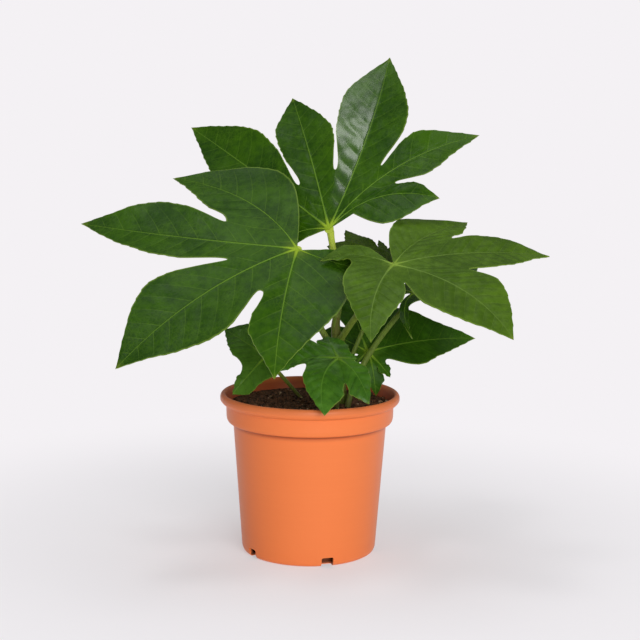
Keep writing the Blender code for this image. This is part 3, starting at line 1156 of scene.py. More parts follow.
    def margin(self, index: int, side: int, q: float) -> tuple[Vector, float]:
        """Plan point and height on the free edge.

        Args:
            index: Which lobe.
            side: -1 for clockwise, 1 for anticlockwise.
            q: Share of the free edge, from the gap to the tip.

        Returns:
            The plan point and the height over the plane of the leaf.
        """
        lobe = self.lobes[index]
        along, across = self.axes(index)
        k = index if side < 0 else index + 1
        reach, offset, _ = self.local(index, self.corners[k])
        widest, fullest = lobe.left, lobe.left_full
        if side < 0:
            widest, fullest = lobe.right, lobe.right_full
        distance = reach + (lobe.length - reach) * q
        u = clamp(distance / lobe.length)
        width = self.half_width(q, offset * side, widest, fullest, lobe.belly)
        bare = not 0 < k < len(self.gaps) - 1
        if not bare:
            near = clamp(q / self.hollow_reach)
            depth = self.gaps[k].hollow * self.hollow_scale
            width -= depth * math.sqrt(near) * (1 - near) ** 2
        lateral = side * (width + self.teeth(q, lobe.length - reach, bare))
        lateral += arc(lobe.bow, u)
        height = self.rib_height(index, u) + self.cup * width
        phase = 3 * math.pi * q + self.wave_phase * index + side
        height += self.wave * math.sin(math.pi * q) * math.sin(phase)
        near_gap = clamp(1 - q / self.gap_blend) ** 2
        height = height * (1 - near_gap) + self.corner_heights[k] * near_gap
        return along * distance + across * lateral, height

    def surface(self, index: int, row: float, v: float) -> tuple[Vector, float, float, float]:
        """Point of the blade's middle surface.

        Args:
            index: Which lobe.
            row: 0 at the hub, 1 level with the gaps, 2 at the tip.
            v: -1 on the clockwise edge, 0 on the midrib, 1 on the other edge.

        Returns:
            The point in metres, the reach from the hub and the distance from
            the midrib in millimetres, and the side veins' phase.
        """
        side = -1 if v < 0 else 1
        start = self.start(index)
        if row <= 1:
            u = start * row
            k = index if side < 0 else index + 1
            edge, edge_height = self.seam(k, row), self.corner_heights[k] * row**self.gap_power
        else:
            u = start + (1 - start) * (row - 1)
            edge, edge_height = self.margin(index, side, row - 1)
        middle = self.midrib(index, u)
        plan = middle.lerp(edge, abs(v))
        share = abs(v) ** self.side_power
        height = self.rib_height(index, u) * (1 - share) + edge_height * share
        offset = (plan - middle).length
        along, _ = self.axes(index)
        reach = max(plan.dot(along), 0.0)
        behind = self.vein_slant * offset + self.vein_curve * offset**2
        phase = (reach - behind) / self.vein_pitch + (0.5 if side > 0 else 0.0)
        height += self.relief(index, row, v, plan, offset, phase)
        spot = self.centre + self.level * plan.x + self.uphill * plan.y
        return (spot + self.normal * height) * MM, reach, offset, phase

    def relief(
        self, index: int, row: float, v: float, plan: Vector, offset: float, phase: float
    ) -> float:
        """Quilting between the side veins, the raised midrib and the waved edge.

        Args:
            index: Which lobe.
            row: Row as in surface.
            v: Place across the lobe as in surface.
            plan: Plan point in millimetres.
            offset: Distance from the midrib in millimetres.
            phase: Phase of the side veins.

        Returns:
            The added height in millimetres.
        """
        q = max(row - 1, 0.0)
        width = abs(v)
        room = ease(plan.length, 6.0, 26.0) * ease(width, 0.0, 0.16) * (1 - width**5)
        puff = abs(math.sin(math.pi * phase)) ** 0.75
        patch = self.uneven(plan, self.patch_grain, index * 7.3)
        pillow = self.quilt * room * (1 - q**3) * (puff + self.patch * patch)
        rib = self.rib_relief * (1 - 0.8 * q) * math.exp(-((offset / self.rib_spread) ** 2))
        ripple = self.uneven(plan, self.ripple_grain, index * 3.1 + 40)
        ripple *= self.ripple * ease(width, 0.5, 1.0) * ease(q, 0.05, 0.3)
        return pillow + rib + ripple

    @staticmethod
    def uneven(plan: Vector, grain: float, layer: float) -> float:
        """Noise over the plan of the leaf, another for each layer."""
        return noise.noise(Vector((plan.x * grain, plan.y * grain, layer)))

    def build(self) -> bpy.types.Object:
        """Model the blade with its two faces and dress it.

        Returns:
            The finished piece.
        """
        inner, outer, columns = self.grain.value
        bm = bmesh.new()
        layers = tuple(bm.loops.layers.uv.new(key) for key in ("ribs", "veins", "wax"))
        for index in range(len(self.lobes)):
            grid = bmesh.ops.create_grid(
                bm, x_segments=2 * columns, y_segments=inner + outer, size=1.0
            )
            flat = {vert: vert.co.copy() for vert in grid["verts"]}
            for face in {face for vert in flat for face in vert.link_faces}:
                self.map_face(face, flat, index, layers)
            for vert, co in flat.items():
                vert.co = self.surface(index, self.row_of(co.y), self.across_of(co.x))[0]
        bmesh.ops.remove_doubles(bm, verts=bm.verts, dist=0.002 * MM)
        bmesh.ops.triangulate(bm, faces=bm.faces)
        upper = self.finish.make(self.name + "_upper", self.centre * MM)
        under = UndersideFinish().make(self.name + "_under")
        made = to_object(self.name + "_blade_leaf", bm, (upper, under))
        shell = made.modifiers.new("thickness", "SOLIDIFY")
        shell.thickness = self.thickness * MM
        shell.offset = 0.0
        shell.material_offset = 1
        return applied(made)

    def row_of(self, y: float) -> float:
        """Row on the blade of a height on the flat grid.

        Args:
            y: Height on the grid, from -1 to 1.

        Returns:
            0 at the hub, 1 level with the gaps, 2 at the tip.
        """
        inner, outer, _ = self.grain.value
        row = (y + 1) / 2 * (inner + outer)
        return row / inner if row <= inner + 1e-4 else 1 + (row - inner) / outer

    def across_of(self, x: float) -> float:
        """Place across the lobe; columns crowd towards the midrib."""
        return -math.copysign(abs(x) ** self.crowding, x)

    def map_face(
        self,
        face: bmesh.types.BMFace,
        flat: dict[bmesh.types.BMVert, Vector],
        index: int,
        layers: tuple[bmesh.types.BMLayerItem, ...],
    ) -> None:
        """Write a face's distances, vein phase and wax into the three UV maps.

        Args:
            face: Face of the flat grid.
            flat: Grid place of each vertex.
            index: Which lobe.
            layers: UV maps for distance from the midrib and share of the length,
                for side vein phase and nearness to the edge, and for the wax.
        """
        ribs, veins, wax = layers
        middle = sum(flat[vert].x for vert in face.verts)
        shine = self.waxy.get(index, 0.0) if middle < 0 else 0.0
        for loop in face.loops:
            co = flat[loop.vert]
            row, v = self.row_of(co.y), self.across_of(co.x)
            if abs(co.x) < 1e-6:
                v = -math.copysign(1e-6, middle)
            _, reach, offset, phase = self.surface(index, row, v)
            loop[ribs].uv = (offset, reach / self.lobes[index].length)
            loop[veins].uv = (phase, abs(v) if row >= 1 else 0.0)
            fade = 1 - self.wax_loss * ease(row, *self.wax_fade)
            loop[wax].uv = (shine * ease(row, *self.wax_onset) * fade, 0.0)


@dataclass
class Stalk:
    """A leaf stalk from the stem or the soil to the hub of its blade.

    The pulls say how far the stalk keeps its heading at either end. The crown
    lists the last rings under the blade: rise, flare and turn to the blade.
    """

    leaf: LeafBlade
    foot: Point
    heading: Point
    foot_pull: float
    arrive: Point | None
    hub_pull: float
    foot_radius: float
    hub_radius: float
    finish: StalkFinish = field(default_factory=StalkFinish)
    sides: int = 22
    steps: int = 46
    neck: float = 3.2
    swell: float = 0.10
    wobble: float = 0.035
    crown: tuple[Point, ...] = (
        (0.5, 0.05, 0.25), (1.1, 0.12, 0.5), (1.7, 0.25, 0.75), (2.3, 0.45, 0.9), (3.0, 0.8, 1.0),
    )

    def rings(self) -> list[tuple[Vector, Vector, float]]:
        """Rings from the foot up to the middle of the blade.

        Returns:
            Centre, heading and radius of each ring, in millimetres.
        """
        hub, normal = self.leaf.centre, self.leaf.normal
        foot, heading = Vector(self.foot), Vector(self.heading).normalized()
        neck = hub - normal * self.neck
        arrive = Vector(self.arrive).normalized() if self.arrive else normal
        a, b = foot, foot + heading * self.foot_pull
        c, d = neck - arrive * self.hub_pull, neck
        rings = []
        for step in range(self.steps + 1):
            t = step / self.steps
            s = 1 - t
            spot = a * s**3 + b * 3 * s * s * t + c * 3 * s * t * t + d * t**3
            slope = (b - a) * 3 * s * s + (c - b) * 6 * s * t + (d - c) * 3 * t * t
            radius = self.foot_radius + (self.hub_radius - self.foot_radius) * t
            swell, wobble = ease(t, 0.88, 1.0), math.sin(9.0 * t + foot.x)
            radius *= 1 + self.swell * swell + self.wobble * wobble
            rings.append((spot, slope, radius))
        thick = self.hub_radius * (1 + self.swell)
        for rise, flare, turn in self.crown:
            rings.append((neck + normal * rise, arrive.lerp(normal, turn), thick + flare))
        return rings

    def build(self) -> bpy.types.Object:
        """Model the stalk and dress it.

        Returns:
            The finished piece.
        """
        bm = bmesh.new()
        sweep(bm, self.rings(), self.sides)
        name = self.leaf.name + "_stalk"
        return to_object(name, bm, (self.finish.make(name, self.leaf.centre * MM),), 60)


@dataclass(frozen=True)
class Sleeve:
    """Short sleeve on the stem that covers the foot of a leaf stalk."""

    root: Point
    heading: Point
    reach: float
    radius: float = 0.0
    cover: float = 0.3

    def at(self, reach: float) -> Vector:
        """Place at a reach along the sleeve."""
        return Vector(self.root) + Vector(self.heading).normalized() * reach

    def foot(self) -> Point:
        """Place where the stalk starts, just inside the end."""
        return tuple(self.at(self.reach - self.cover))


class Joint(Enum):
    """Where the four higher stalks leave the stem."""

    LEFT = Sleeve((19.8, 2.0, 118.0), (-0.20, -0.42, 0.88), 15.6, 2.5)
    RIGHT = Sleeve((17.8, 2.0, 139.0), (0.38, -0.56, 0.74), 7.6, 2.7)
    YOUNG = Sleeve((20.7, 2.0, 113.0), (0.36, 0.14, 0.92), 13.1, 1.8)
    TOP = Sleeve((17.0, 2.8, 156.0), (0.22, 0.06, 0.97), 1.3)


@dataclass
class MainStem:
    """The upright stem with a short sleeve for each stalk that leaves its side.

    The line lists x, y, z and radius from the foot up, the scars are heights
    of old leaf scars, and the flare lists shares of a sleeve with its widening.
    """

    line: tuple[tuple[float, float, float, float], ...] = (
        (22.5, 2.0, 74.0, 3.2),
        (22.2, 2.0, 92.0, 3.3),
        (21.6, 2.0, 104.0, 3.3),
        (20.2, 2.0, 118.0, 3.0),
        (18.7, 2.0, 130.0, 3.2),
        (17.2, 2.0, 142.0, 3.2),
        (16.6, 2.5, 152.0, 3.1),
        (17.1, 2.8, 157.6, 2.5),
    )
    sleeves: tuple[Joint, ...] = (Joint.LEFT, Joint.RIGHT, Joint.YOUNG)
    flare: tuple[Pair, ...] = ((0.0, 1.5), (0.25, 1.28), (0.45, 1.14), (0.7, 1.06), (1.0, 1.0))
    scars: tuple[float, ...] = (107.0, 113.5, 126.0, 147.0)
    scar_rise: float = 0.32
    scar_dip: float = 0.10
    scar_width: float = 0.7
    dip_offset: float = 1.6
    unevenness: float = 0.12
    sides: int = 26
    sleeve_sides: int = 20
    steps: int = 84

    def point(self, t: float) -> tuple[Vector, float]:
        """Place on the stem between two points of its line.

        Args:
            t: How many points lie below, with the share of the way to the next.

        Returns:
            Centre and radius, in millimetres.
        """
        k = min(int(t), len(self.line) - 2)
        low, high = Vector(self.line[k]), Vector(self.line[k + 1])
        mixed = low.lerp(high, t - k)
        return Vector(mixed[:3]), mixed[3]

    def bump(self, height: float) -> float:
        """Width that the leaf scars add to the stem or take from it.

        Args:
            height: Height in millimetres.

        Returns:
            The change of the radius, in millimetres.
        """
        added = 0.0
        for scar in self.scars:
            above = (height - scar) / self.scar_width
            dip = above - self.dip_offset / self.scar_width
            added += self.scar_rise * math.exp(-(above**2)) - self.scar_dip * math.exp(-(dip**2))
        return added

    def build(self) -> bpy.types.Object:
        """Model the stem, its scars and its sleeves, and dress it.

        Returns:
            The finished piece.
        """
        last = len(self.line) - 1
        rings = []
        for step in range(self.steps + 1):
            t = step / self.steps * last
            centre, radius = self.point(t)
            ahead, behind = self.point(min(t + 0.05, last))[0], self.point(max(t - 0.05, 0.0))[0]
            radius += self.bump(centre.z) + self.unevenness * noise.noise(centre * 0.21)
            rings.append((centre, ahead - behind, radius))
        bm = bmesh.new()
        sweep(bm, rings, self.sides)
        for sleeve in (joint.value for joint in self.sleeves):
            heading, reach, radius = Vector(sleeve.heading), sleeve.reach, sleeve.radius
            rings = [(sleeve.at(reach * t), heading, radius * wide) for t, wide in self.flare]
            sweep(bm, rings, self.sleeve_sides)
        return to_object("main_stem_bark", bm, (BarkFinish().make("stem_bark"),), 60)


# Pot and soil


@dataclass
class NurseryPot:
    """Thin-walled nursery pot, turned from its section."""

    height: float = 107.4
    rim_radius: float = 60.0
    collar_radius: float = 56.0
    body_top_radius: float = 51.2
    body_top_z: float = 87.0
    base_radius: float = 44.8
    wall: float = 1.6
    pad_radius: float = 24.0
    channel_radius: float = 37.0
    channel_rise: float = 2.6
    slot_count: int = 5
    slot_width: float = 8.0
    slot_height: float = 6.0
    slot_start: float = -73.5
    slot_corner: float = 1.1
    corner_radius: float = 0.7
    steps: int = 192
    finish: PlasticFinish = field(default_factory=PlasticFinish)

    def body_radius(self, z: float) -> float:
        """Outer radius of the tapered body at a height."""
        return self.base_radius + (self.body_top_radius - self.base_radius) * z / self.body_top_z

    def outside(self) -> list[Pair]:
        """Section from the middle of the underside to the top of the rim.

        Returns:
            Radius and height of each corner.
        """
        top, rim, collar = self.height, self.rim_radius, self.collar_radius
        return [
            (0.0, 0.0),
            (self.pad_radius, 0.0),
            (self.pad_radius + 0.6, self.channel_rise),
            (self.channel_radius - 0.6, self.channel_rise),
            (self.channel_radius, 0.0),
            (self.base_radius - 1.8, 0.0),
            (self.base_radius - 0.6, 0.8),
            (self.body_radius(3.0), 3.0),
            (self.body_top_radius, self.body_top_z),
            (collar - 1.3, self.body_top_z + 1.4),
            (collar - 0.6, self.body_top_z + 2.6),
            (collar - 0.2, self.body_top_z + 4.6),
            (collar, top - 7.6),
            (rim - 1.4, top - 6.4),
            (rim, top - 4.6),
            (rim, top - 2.2),
            (rim - 0.8, top - 0.7),
            (rim - 2.0, top),
        ]

    def inside(self) -> list[Pair]:
        """Section from the inner edge of the rim down to the middle of the floor.

        Returns:
            Radius and height of each corner.
        """
        top, wall, collar = self.height, self.wall, self.collar_radius
        return [
            (self.rim_radius - 3.2, top - 0.5),
            (collar - wall - 0.3, top - 9.0),
            (collar - wall - 1.4, top - 15.0),
            (collar - wall - 3.4, top - 19.6),
            (self.body_top_radius - wall - 0.2, self.body_top_z - 2.0),
            (self.body_radius(6.0) - wall, 6.0),
            (self.base_radius - wall - 1.6, wall),
            (self.channel_radius + wall - 0.6, wall),
            (self.channel_radius + wall - 1.6, self.channel_rise + wall),
            (self.pad_radius - wall + 1.6, self.channel_rise + wall),
            (self.pad_radius - wall + 0.6, wall),
            (0.0, wall),
        ]

    def cutter(self) -> bpy.types.Object:
        """Boxes round the axis that cut the drain slots.

        Returns:
            The cutter, to be removed after use.
        """
        bm = bmesh.new()
        inner, outer = self.channel_radius + 1.4, self.base_radius + 5
        middle = Vector(((inner + outer) / 2, 0, self.slot_height / 2 - 1)) * MM
        size = Vector((outer - inner, self.slot_width, self.slot_height + 2)) * MM
        box = Matrix.Translation(middle) @ Matrix.Diagonal((*size, 1))
        for k in range(self.slot_count):
            angle = math.radians(self.slot_start + 360 * k / self.slot_count)
            turn = Matrix.Rotation(angle, 4, "Z")
            made = bmesh.ops.create_cube(bm, size=1.0, matrix=turn @ box)
            outwards = turn.col[0].xyz
            edges = {edge for vert in made["verts"] for edge in vert.link_edges}
            radial = [
                edge
                for edge in edges
                if abs((edge.verts[0].co - edge.verts[1].co).normalized().dot(outwards)) > 0.9
            ]
            bmesh.ops.bevel(
                bm,
                geom=radial,
                offset=self.slot_corner * MM,
                segments=4,
                profile=0.5,
                affect="EDGES",
                material=-1,
            )
        bmesh.ops.recalc_face_normals(bm, faces=bm.faces)
        return to_object("slot_cutter", bm, ())

    def build(self) -> bpy.types.Object:
        """Turn the pot, cut its drain slots and dress it.

        Returns:
            The finished piece.
        """
        profile = rounded(self.outside() + self.inside(), self.corner_radius)
        bm = turned(profile, self.steps)
        made = to_object("nursery_pot", bm, (self.finish.make("pot_plastic"),), 50)
        cutter = self.cutter()
        slots = made.modifiers.new("drain slots", "BOOLEAN")
        slots.operation, slots.solver, slots.object = "DIFFERENCE", "EXACT", cutter
        applied(made, 50)
        bpy.data.objects.remove(cutter)
        return made


@dataclass
class SoilFill:
    """Earth that fills the pot, with a crumbly top."""

    pot: NurseryPot
    top: float = 99.5
    bottom: float = 4.5
    clearance: float = 0.5
    rings: int = 74
    steps: int = 230
    crumbs: int = 1100
    crumb_reach: float = 52.5
    crumb_radii: tuple[float, ...] = (0.45, 0.6, 0.8, 1.0, 1.4)
    crumb_dents: float = 0.32
    pale_share: float = 0.10
    seed: int = 11

    def section(self) -> list[Pair]:
        """Section from the middle of the bottom to the middle of the top.

        Returns:
            Radius and height of each corner.
        """
        wall = [
            (radius - self.clearance, z)
            for radius, z in reversed(self.pot.inside()[1:6])
            if z < self.top - 1
        ]
        radius = wall[-1][0] + 1.0
        made = [(0.0, self.bottom), (self.pot.channel_radius, self.bottom), *wall]
        made.append((radius, self.top - 0.8))
        made += [(radius * (1 - k / self.rings), self.top) for k in range(1, self.rings + 1)]
        return made

    def lift(self, x: float, y: float) -> float:
        """Height of the crumbly top over its mean level.

        Args:
            x: Place across the pot, in millimetres.
            y: Place from front to back, in millimetres.

        Returns:
            The height in millimetres.
        """
        spot = Vector((x, y, 3.0))
        broad = noise.noise(spot * 0.045) * 1.1
        lumps = noise.noise(spot * 0.22) * 0.9
        crumbs = noise.voronoi(spot * 0.42)[0][0]
        return broad + lumps + (0.45 - crumbs) * 1.5 + noise.noise(spot * 0.9) * 0.35

    def scatter(self, bm: bmesh.types.BMesh) -> None:
        """Lay loose crumbs and fibres on the top.

        Args:
            bm: Soil mesh to add to.
        """
        draw = random.Random(self.seed)
        for k in range(self.crumbs):
            reach = self.crumb_reach * math.sqrt(draw.random())
            angle = draw.uniform(0, 2 * math.pi)
            x, y = reach * math.cos(angle), reach * math.sin(angle)
            radius = draw.choice(self.crumb_radii) * draw.uniform(0.8, 1.2)
            stretch = (draw.uniform(0.8, 1.7), draw.uniform(0.7, 1.1), draw.uniform(0.5, 0.9))
            spot = Vector((x, y, self.top + self.lift(x, y) + radius * 0.25)) * MM
            turn = Matrix.Rotation(draw.uniform(0, math.pi), 4, "Z")
            turn = turn @ Matrix.Rotation(draw.uniform(-0.5, 0.5), 4, "X")
            place = Matrix.Translation(spot) @ turn @ Matrix.Diagonal((*stretch, 1))
            made = bmesh.ops.create_icosphere(bm, subdivisions=1, radius=radius * MM, matrix=place)
            for vert in made["verts"]:
                dent = noise.noise(vert.co * 1600 + Vector((k, 0, 0)))
                vert.co = spot + (vert.co - spot) * (1 + self.crumb_dents * dent)
            pale = draw.random() < self.pale_share
            for face in {face for vert in made["verts"] for face in vert.link_faces}:
                face.material_index = int(pale)

    def build(self) -> bpy.types.Object:
        """Fill the pot, roughen the top and dress it.

        Returns:
            The finished piece.
        """
        bm = turned(self.section(), self.steps)
        upper = [vert for vert in bm.verts if vert.co.z > (self.top - 0.1) * MM]
        edge = max(vert.co.xy.length for vert in upper)
        for vert in upper:
            spot = vert.co.xy / MM
            settle = ease(vert.co.xy.length / edge, 1.0, 0.97)
            vert.co.z += self.lift(spot.x, spot.y) * MM * settle
        self.scatter(bm)
        finishes = (EarthFinish().make("soil_earth"), CrumbFinish().make("soil_crumbs"))
        return to_object("soil_fill", bm, finishes, 70)


# Studio


@dataclass(frozen=True)
class Lamp:
    """A square soft light: place, target and side in metres, power in watts."""

    name: str
    spot: Point
    target: Point
    size: float
    watts: float

    def hang(self) -> None:
        """Put the light in the scene, facing its target."""
        data = bpy.data.lights.new(self.name, "AREA")
        data.shape, data.size, data.energy = "SQUARE", self.size, self.watts
        made = bpy.data.objects.new(self.name, data)
        away = Vector(self.spot) - Vector(self.target)
        turn = away.to_track_quat("Z", "Y").to_matrix().to_4x4()
        made.matrix_world = Matrix.Translation(self.spot) @ turn
        bpy.context.scene.collection.objects.link(made)


@dataclass
class Studio:
    """Floor, lights, background and the camera of the picture.

    The eye is in millimetres, pitch and roll are in degrees, and the focal
    length is in pixels of a picture FRAME_PIXELS wide. The floor is in metres.
    """

    eye: Point = (6.144, -961.212, 298.157)
    pitch: float = 8.414
    roll: float = 0.615
    focal_pixels: float = 1462.1
    sensor: float = 36.0
    background: Colour = (0.905, 0.880, 0.905)
    sky: Colour = (0.970, 0.985, 1.000)
    ambient: float = 0.29
    floor_size: float = 60.0
    floor_drop: float = 0.0002
    floor_sides: int = 96
    lamps: tuple[Lamp, ...] = (
        Lamp("key", (0.55, -1.66, 0.70), (0, 0, 0.16), 1.0, 23.0),
        Lamp("low", (0.15, -1.30, 0.05), (0, 0, 0.08), 0.6, 5.0),
        Lamp("sheen", (-0.32, -0.18, 1.74), (0, 0, 0.28), 0.35, 5.0),
        Lamp("above", (0.1, 0.35, 1.8), (0, 0, 0.2), 0.6, 3.0),
    )

    def camera(self) -> None:
        """Place the camera at the picture's own angle and field of view."""
        data = bpy.data.cameras.new("camera")
        data.sensor_width = self.sensor
        data.lens = self.focal_pixels * self.sensor / FRAME_PIXELS
        data.clip_start, data.clip_end = 0.01, 200.0
        made = bpy.data.objects.new("camera", data)
        turn = Matrix.Rotation(math.radians(90 - self.pitch), 4, "X")
        twist = Matrix.Rotation(math.radians(self.roll), 4, "Z")
        made.matrix_world = Matrix.Translation(Vector(self.eye) * MM) @ turn @ twist
        bpy.context.scene.collection.objects.link(made)
        bpy.context.scene.camera = made

    def floor(self) -> None:
        """Lay the pale floor under the pot."""
        bm = bmesh.new()
        sides, reach = self.floor_sides, self.floor_size
        bmesh.ops.create_circle(bm, cap_ends=True, segments=sides, radius=reach)
        made = to_object("studio_floor", bm, (FloorFinish().make("floor_paint"),))
        made.data.transform(Matrix.Translation((0, 0, -self.floor_drop)))

    def world(self) -> None:
        """Light the studio evenly from all round."""
        world = bpy.data.worlds.new("studio")
        bpy.context.scene.world = world
        shade = Shader(world, "Background")
        shade.fill(shade.surface, {"Color": self.background})
        seen = Wire(shade, shade.surface.outputs[0])
        inputs = {"Color": self.sky, "Strength": self.ambient}
        lit = shade.wire("ShaderNodeBackground", None, inputs)
        by_camera = shade.wire("ShaderNodeLightPath", output="Is Camera Ray")
        shade.show_between(by_camera, lit, seen)

    def build(self) -> None:
        """Set up the whole studio."""
        self.camera()
        self.floor()
        self.world()
        for lamp in self.lamps:
            lamp.hang()
        bpy.context.scene.view_settings.view_transform = "Standard"


def leaves() -> dict[str, LeafBlade]:
    """Every leaf blade, on the lines of the solids.

    Returns:
        Name to blade.
    """
    blades = (
        LeafBlade(
            "left_leaf", (-9.0, -22.0, 205.5), -90, 38, 0.10, 10,
            (
                Lobe(140, 112, -13, 34.5, 22, 0.50, 0.15, 4),
                Lobe(167.5, 147.5, 4.5, 29.5, 20, 0.45, 0.43, 10),
                Lobe(220.5, 143, -8, 29.5, 34.5, 0.50, 0.39, 14),
                Lobe(263, 100.5, -2, 18.5, 40, 0.50, 0.18, 14, 0, 1.2),
                Lobe(343, 50, -4, 10, 9, 0.40, 0.43, 4),
            ),
            (
                Gap(88, 7), Gap(153, 53), Gap(194, 45.5), Gap(240, 44, 0, 2.4),
                Gap(317, 49), Gap(341, 4),
            ),
            BladeFinish(hub_glow=1.0),
        ),
        LeafBlade(
            "top_leaf", (11.5, 8.0, 216.0), -112, 54, 0.10, 10,
            (
                Lobe(24, 75.5, 13, 23.5, 9.5, 0.38, 0.50, 6),
                Lobe(44, 119, 12, 17, 18, 0.31, 0.50, 8),
                Lobe(87, 148, -5, 25.5, 26, 0.40, 0.59, 8),
                Lobe(117.5, 127.5, -1.5, 20, 19, 0.46, 0.60, 10),
                Lobe(146.5, 161, 0, 25, 25.5, 0.52, 0.24, 14),
                Lobe(209.5, 52.5, -8, 10, 10, 0.40, 0.60, 4),
            ),
            (
                Gap(42, 19), Gap(46, 54, 3.9), Gap(64, 57, 2), Gap(98, 47, 0, 1.7),
                Gap(132, 45, 0, 1.7), Gap(168, 52), Gap(204, 5),
            ),
            BladeFinish(hub_glow=1.0, roughness=0.29),
            quilt=0.45,
            waxy={2: 0.55},
        ),
        LeafBlade(
            "right_leaf", (52.0, -46.0, 198.5), -90, 25, 0.08, 10,
            (
                Lobe(167.5, 47, -6.5, 13, 2.5, 0.70, 0.39, 4),
                Lobe(257.5, 71.5, -5, 24.5, 18, 0.15, 0.20, 12),
                Lobe(315.5, 97, 11, 31, 24, 0.35, 0.30, 10),
                Lobe(374, 105, 5.5, 21.5, 20, 0.15, 0.39, 8),
                Lobe(410, 80, 6.5, 11, 24, 0.39, 0.54, 4),
            ),
            (
                Gap(129, 7.5), Gap(175, 27), Gap(285, 23, 0, 0.4), Gap(354, 47.5, 0, 0.8),
                Gap(401, 52, 0, 0.6), Gap(455, 9.5),
            ),
            BladeFinish(
                deep=(0.034, 0.076, 0.003), fresh=(0.068, 0.134, 0.008),
                vein=(0.125, 0.205, 0.035), hub=(0.200, 0.300, 0.035), hub_glow=0.6,
            ),
            quilt=0.7,
            vein_pitch=8.5,
        ),
        LeafBlade(
            "rear_leaf", (69.5, 22.0, 172.0), -80, 20, 0.05, 8,
            (
                Lobe(-102, 39.5, -6, 3, 2.5, 0.50, 0.30, 14),
                Lobe(-31, 46, 0, 9, 9, 0.40, 0.40, 3),
                Lobe(43, 84, 0, 13.5, 16, 0.40, 0.40, 6),
                Lobe(70, 96, 0, 18, 18, 0.40, 0.40, 6),
                Lobe(150, 20, 0, 6, 5.5, 0.40, 0.40, 2),
            ),
            (
                Gap(-150, 3), Gap(-63, 11, 0, 0.4), Gap(23, 28), Gap(57, 46),
                Gap(100, 14), Gap(190, 3.5),
            ),
            BladeFinish(),
            Grain.SMALL,
        ),
        LeafBlade(
            "young_leaf", (51.5, 18.0, 189.0), -90, 28, 0.05, 6,
            (
                Lobe(75, 31, 0, 6, 6, 0.40, 0.40, 2),
                Lobe(98, 37.5, -1.5, 2.5, 3.5, 0.40, 0.40, 2),
                Lobe(118.5, 59, 0, 7.5, 7, 0.40, 0.40, 3.5),
                Lobe(143.5, 51, 0, 13.5, 9.5, 0.45, 0.40, 3),
                Lobe(176, 24.5, 0, 4.5, 4.5, 0.40, 0.40, 1.5),
            ),
            (
                Gap(66, 6), Gap(87, 17, 0, 0.2), Gap(106, 13, 0, 0.2), Gap(130, 35, 0, 0.4),
                Gap(160, 20, 0, 0.2), Gap(190, 4),
            ),
            BladeFinish(
                deep=(0.048, 0.092, 0.003), fresh=(0.084, 0.148, 0.005),
                margin=(0.120, 0.095, 0.030), vein=(0.110, 0.150, 0.025),
            ),
            Grain.SMALL,
            quilt=0.3,
            vein_pitch=5.5,
            saw_pitch=4.0,
        ),
        LeafBlade(
            "low_right_leaf", (38.5, 10.0, 133.0), -85, 38, 0.10, 8,
            (
                Lobe(-78, 24, 0, 5.5, 6.5, 0.55, 0.50, 18, 1.5),
                Lobe(-54, 23.5, 0, 3.5, 4.5, 0.40, 0.30, 4),
                Lobe(13, 78.5, 2.5, 21.5, 33.5, 0.30, 0.03, 6, 0, 1.35),
                Lobe(98, 56, 1, 11, 12, 0.40, 0.35, 2),
                Lobe(141, 36, 0, 9, 9.5, 0.42, 0.45, 3),
                Lobe(228, 12.5, 0, 3.5, 2, 0.45, 0.40, 1),
            ),
            (
                Gap(-112, 3), Gap(-64, 12, 0, 0.3), Gap(-27, 14), Gap(73, 43, 0, 0.5),
                Gap(120, 27, 0, 0.6), Gap(198, 7, 0, 0.2), Gap(243, 4),
            ),
            BladeFinish(deep=(0.014, 0.050, 0.002), fresh=(0.032, 0.096, 0.004)),
            Grain.SMALL,
            vein_pitch=8.0,
        ),
        LeafBlade(
            "low_left_leaf", (-29.5, -8.0, 132.5), -100, 42, 0.06, 8,
            (
                Lobe(37, 18, 0, 3.5, 3.5, 0.40, 0.40, 1),
                Lobe(143.5, 41, 0, 12.5, 13, 0.60, 0.28, 4),
                Lobe(237, 33.5, 0.5, 5.5, 9.5, 0.30, 0.75, 6),
            ),
            (Gap(0, 4.5), Gap(111, 10), Gap(212.5, 17, 0, 0.2), Gap(297, 18.5)),
            BladeFinish(
                deep=(0.028, 0.085, 0.006), fresh=(0.060, 0.145, 0.014),
                hub_glow=0.2, coat=0.08,
            ),
            Grain.SMALL,
            quilt=0.7,
            vein_pitch=6.5,
            saw_pitch=4.5,
        ),
        LeafBlade(
            "low_front_leaf", (18.0, -38.0, 137.0), -95, 36, 0.08, 8,
            (
                Lobe(-358, 11.5, 0, 4, 4, 0.40, 0.40, 0.5),
                Lobe(-247, 22, 0, 9, 8, 0.40, 0.40, 1),
                Lobe(-166, 42, -4, 18, 4, 0.30, 0.20, 4),
                Lobe(-97.5, 44, -5.5, 13, 14, 0.25, 0.35, 7, 3),
                Lobe(-57, 39.5, 2.5, 9.5, 8, 0.37, 0.38, 6, 2),
            ),
            (
                Gap(-370, 7), Gap(-335, 9, 0, 0.2), Gap(-220, 18, 0, 0),
                Gap(-162, 21.5, 0, 0.5), Gap(-75, 24, 0, 0.2), Gap(-15, 7),
            ),
            BladeFinish(
                deep=(0.024, 0.080, 0.006), fresh=(0.058, 0.160, 0.012),
                vein=(0.085, 0.190, 0.020), hub_glow=0.15, coat=0.15,
            ),
            Grain.SMALL,
            quilt=0.7,
            vein_pitch=6.5,
            saw_pitch=4.5,
        ),
    )
    return {blade.name: blade for blade in blades}


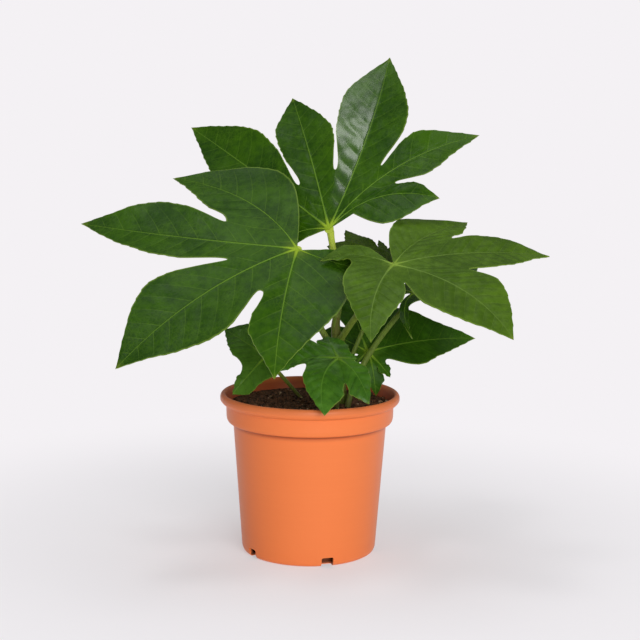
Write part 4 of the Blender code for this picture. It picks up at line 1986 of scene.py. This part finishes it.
def stalks(blades: dict[str, LeafBlade]) -> tuple[Stalk, ...]:
    """Every leaf stalk, on the lines of the solids.

    Args:
        blades: Leaf blades by name.

    Returns:
        The stalks.
    """
    low = StalkFinish(body=(0.110, 0.165, 0.018), streak=(0.070, 0.105, 0.012), crown_reach=14.0)

    def from_stem(name: str, joint: Joint, *rest: object) -> Stalk:
        """Stalk that leaves a sleeve of the stem, with the rest of its sizes."""
        sleeve = joint.value
        return Stalk(blades[name], sleeve.foot(), sleeve.heading, *rest)

    return (
        from_stem("left_leaf", Joint.LEFT, 14, None, 46, 2.2, 2.0),
        from_stem("top_leaf", Joint.TOP, 20, (-0.10, -0.10, 1.0), 14, 2.4, 2.2),
        from_stem("right_leaf", Joint.RIGHT, 26, (0.45, -0.55, 0.70), 18, 2.2, 2.0),
        Stalk(
            blades["rear_leaf"], (23.5, -8.0, 84.0), (0.03, -0.05, 1.0),
            34, (0.62, 0.42, 0.66), 46, 2.0, 1.9, low,
        ),
        from_stem("young_leaf", Joint.YOUNG, 28, (0.35, 0.10, 0.93), 22, 1.5, 1.3, low),
        Stalk(
            blades["low_right_leaf"], (32.5, 13.0, 84.0), (0.05, -0.04, 1.0),
            20, None, 12, 1.5, 1.1, low,
        ),
        Stalk(
            blades["low_left_leaf"], (2.0, 26.5, 88.0), (-0.52, -0.48, 0.70),
            16, (-0.50, -0.60, 0.62), 14, 1.3, 1.3,
        ),
        Stalk(
            blades["low_front_leaf"], (17.5, -14.0, 84.0), (0.0, -0.12, 0.99),
            22, None, 14, 1.6, 1.6,
        ),
    )


def install(made: bpy.types.Object, node: str) -> None:
    """Let a piece stand for a node, and report it.

    Args:
        made: Finished piece.
        node: Node that it replaces.
    """
    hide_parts(node)
    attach(made, "root")
    count = sum(len(face.vertices) - 2 for face in made.data.polygons)
    LOG.info("%s stands for %s with %d triangles", made.name, node, count)


def main() -> None:
    """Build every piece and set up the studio."""
    logging.basicConfig(level=logging.INFO, format="%(message)s")
    pot = NurseryPot()
    install(pot.build(), "pot")
    install(SoilFill(pot).build(), "soil")
    install(MainStem().build(), "main_stem")
    blades = leaves()
    for blade in blades.values():
        install(blade.build(), blade.name + "_blade")
    for stalk in stalks(blades):
        install(stalk.build(), stalk.leaf.name + "_petiole")
    Studio().build()


if __name__ == "__main__":
    main()
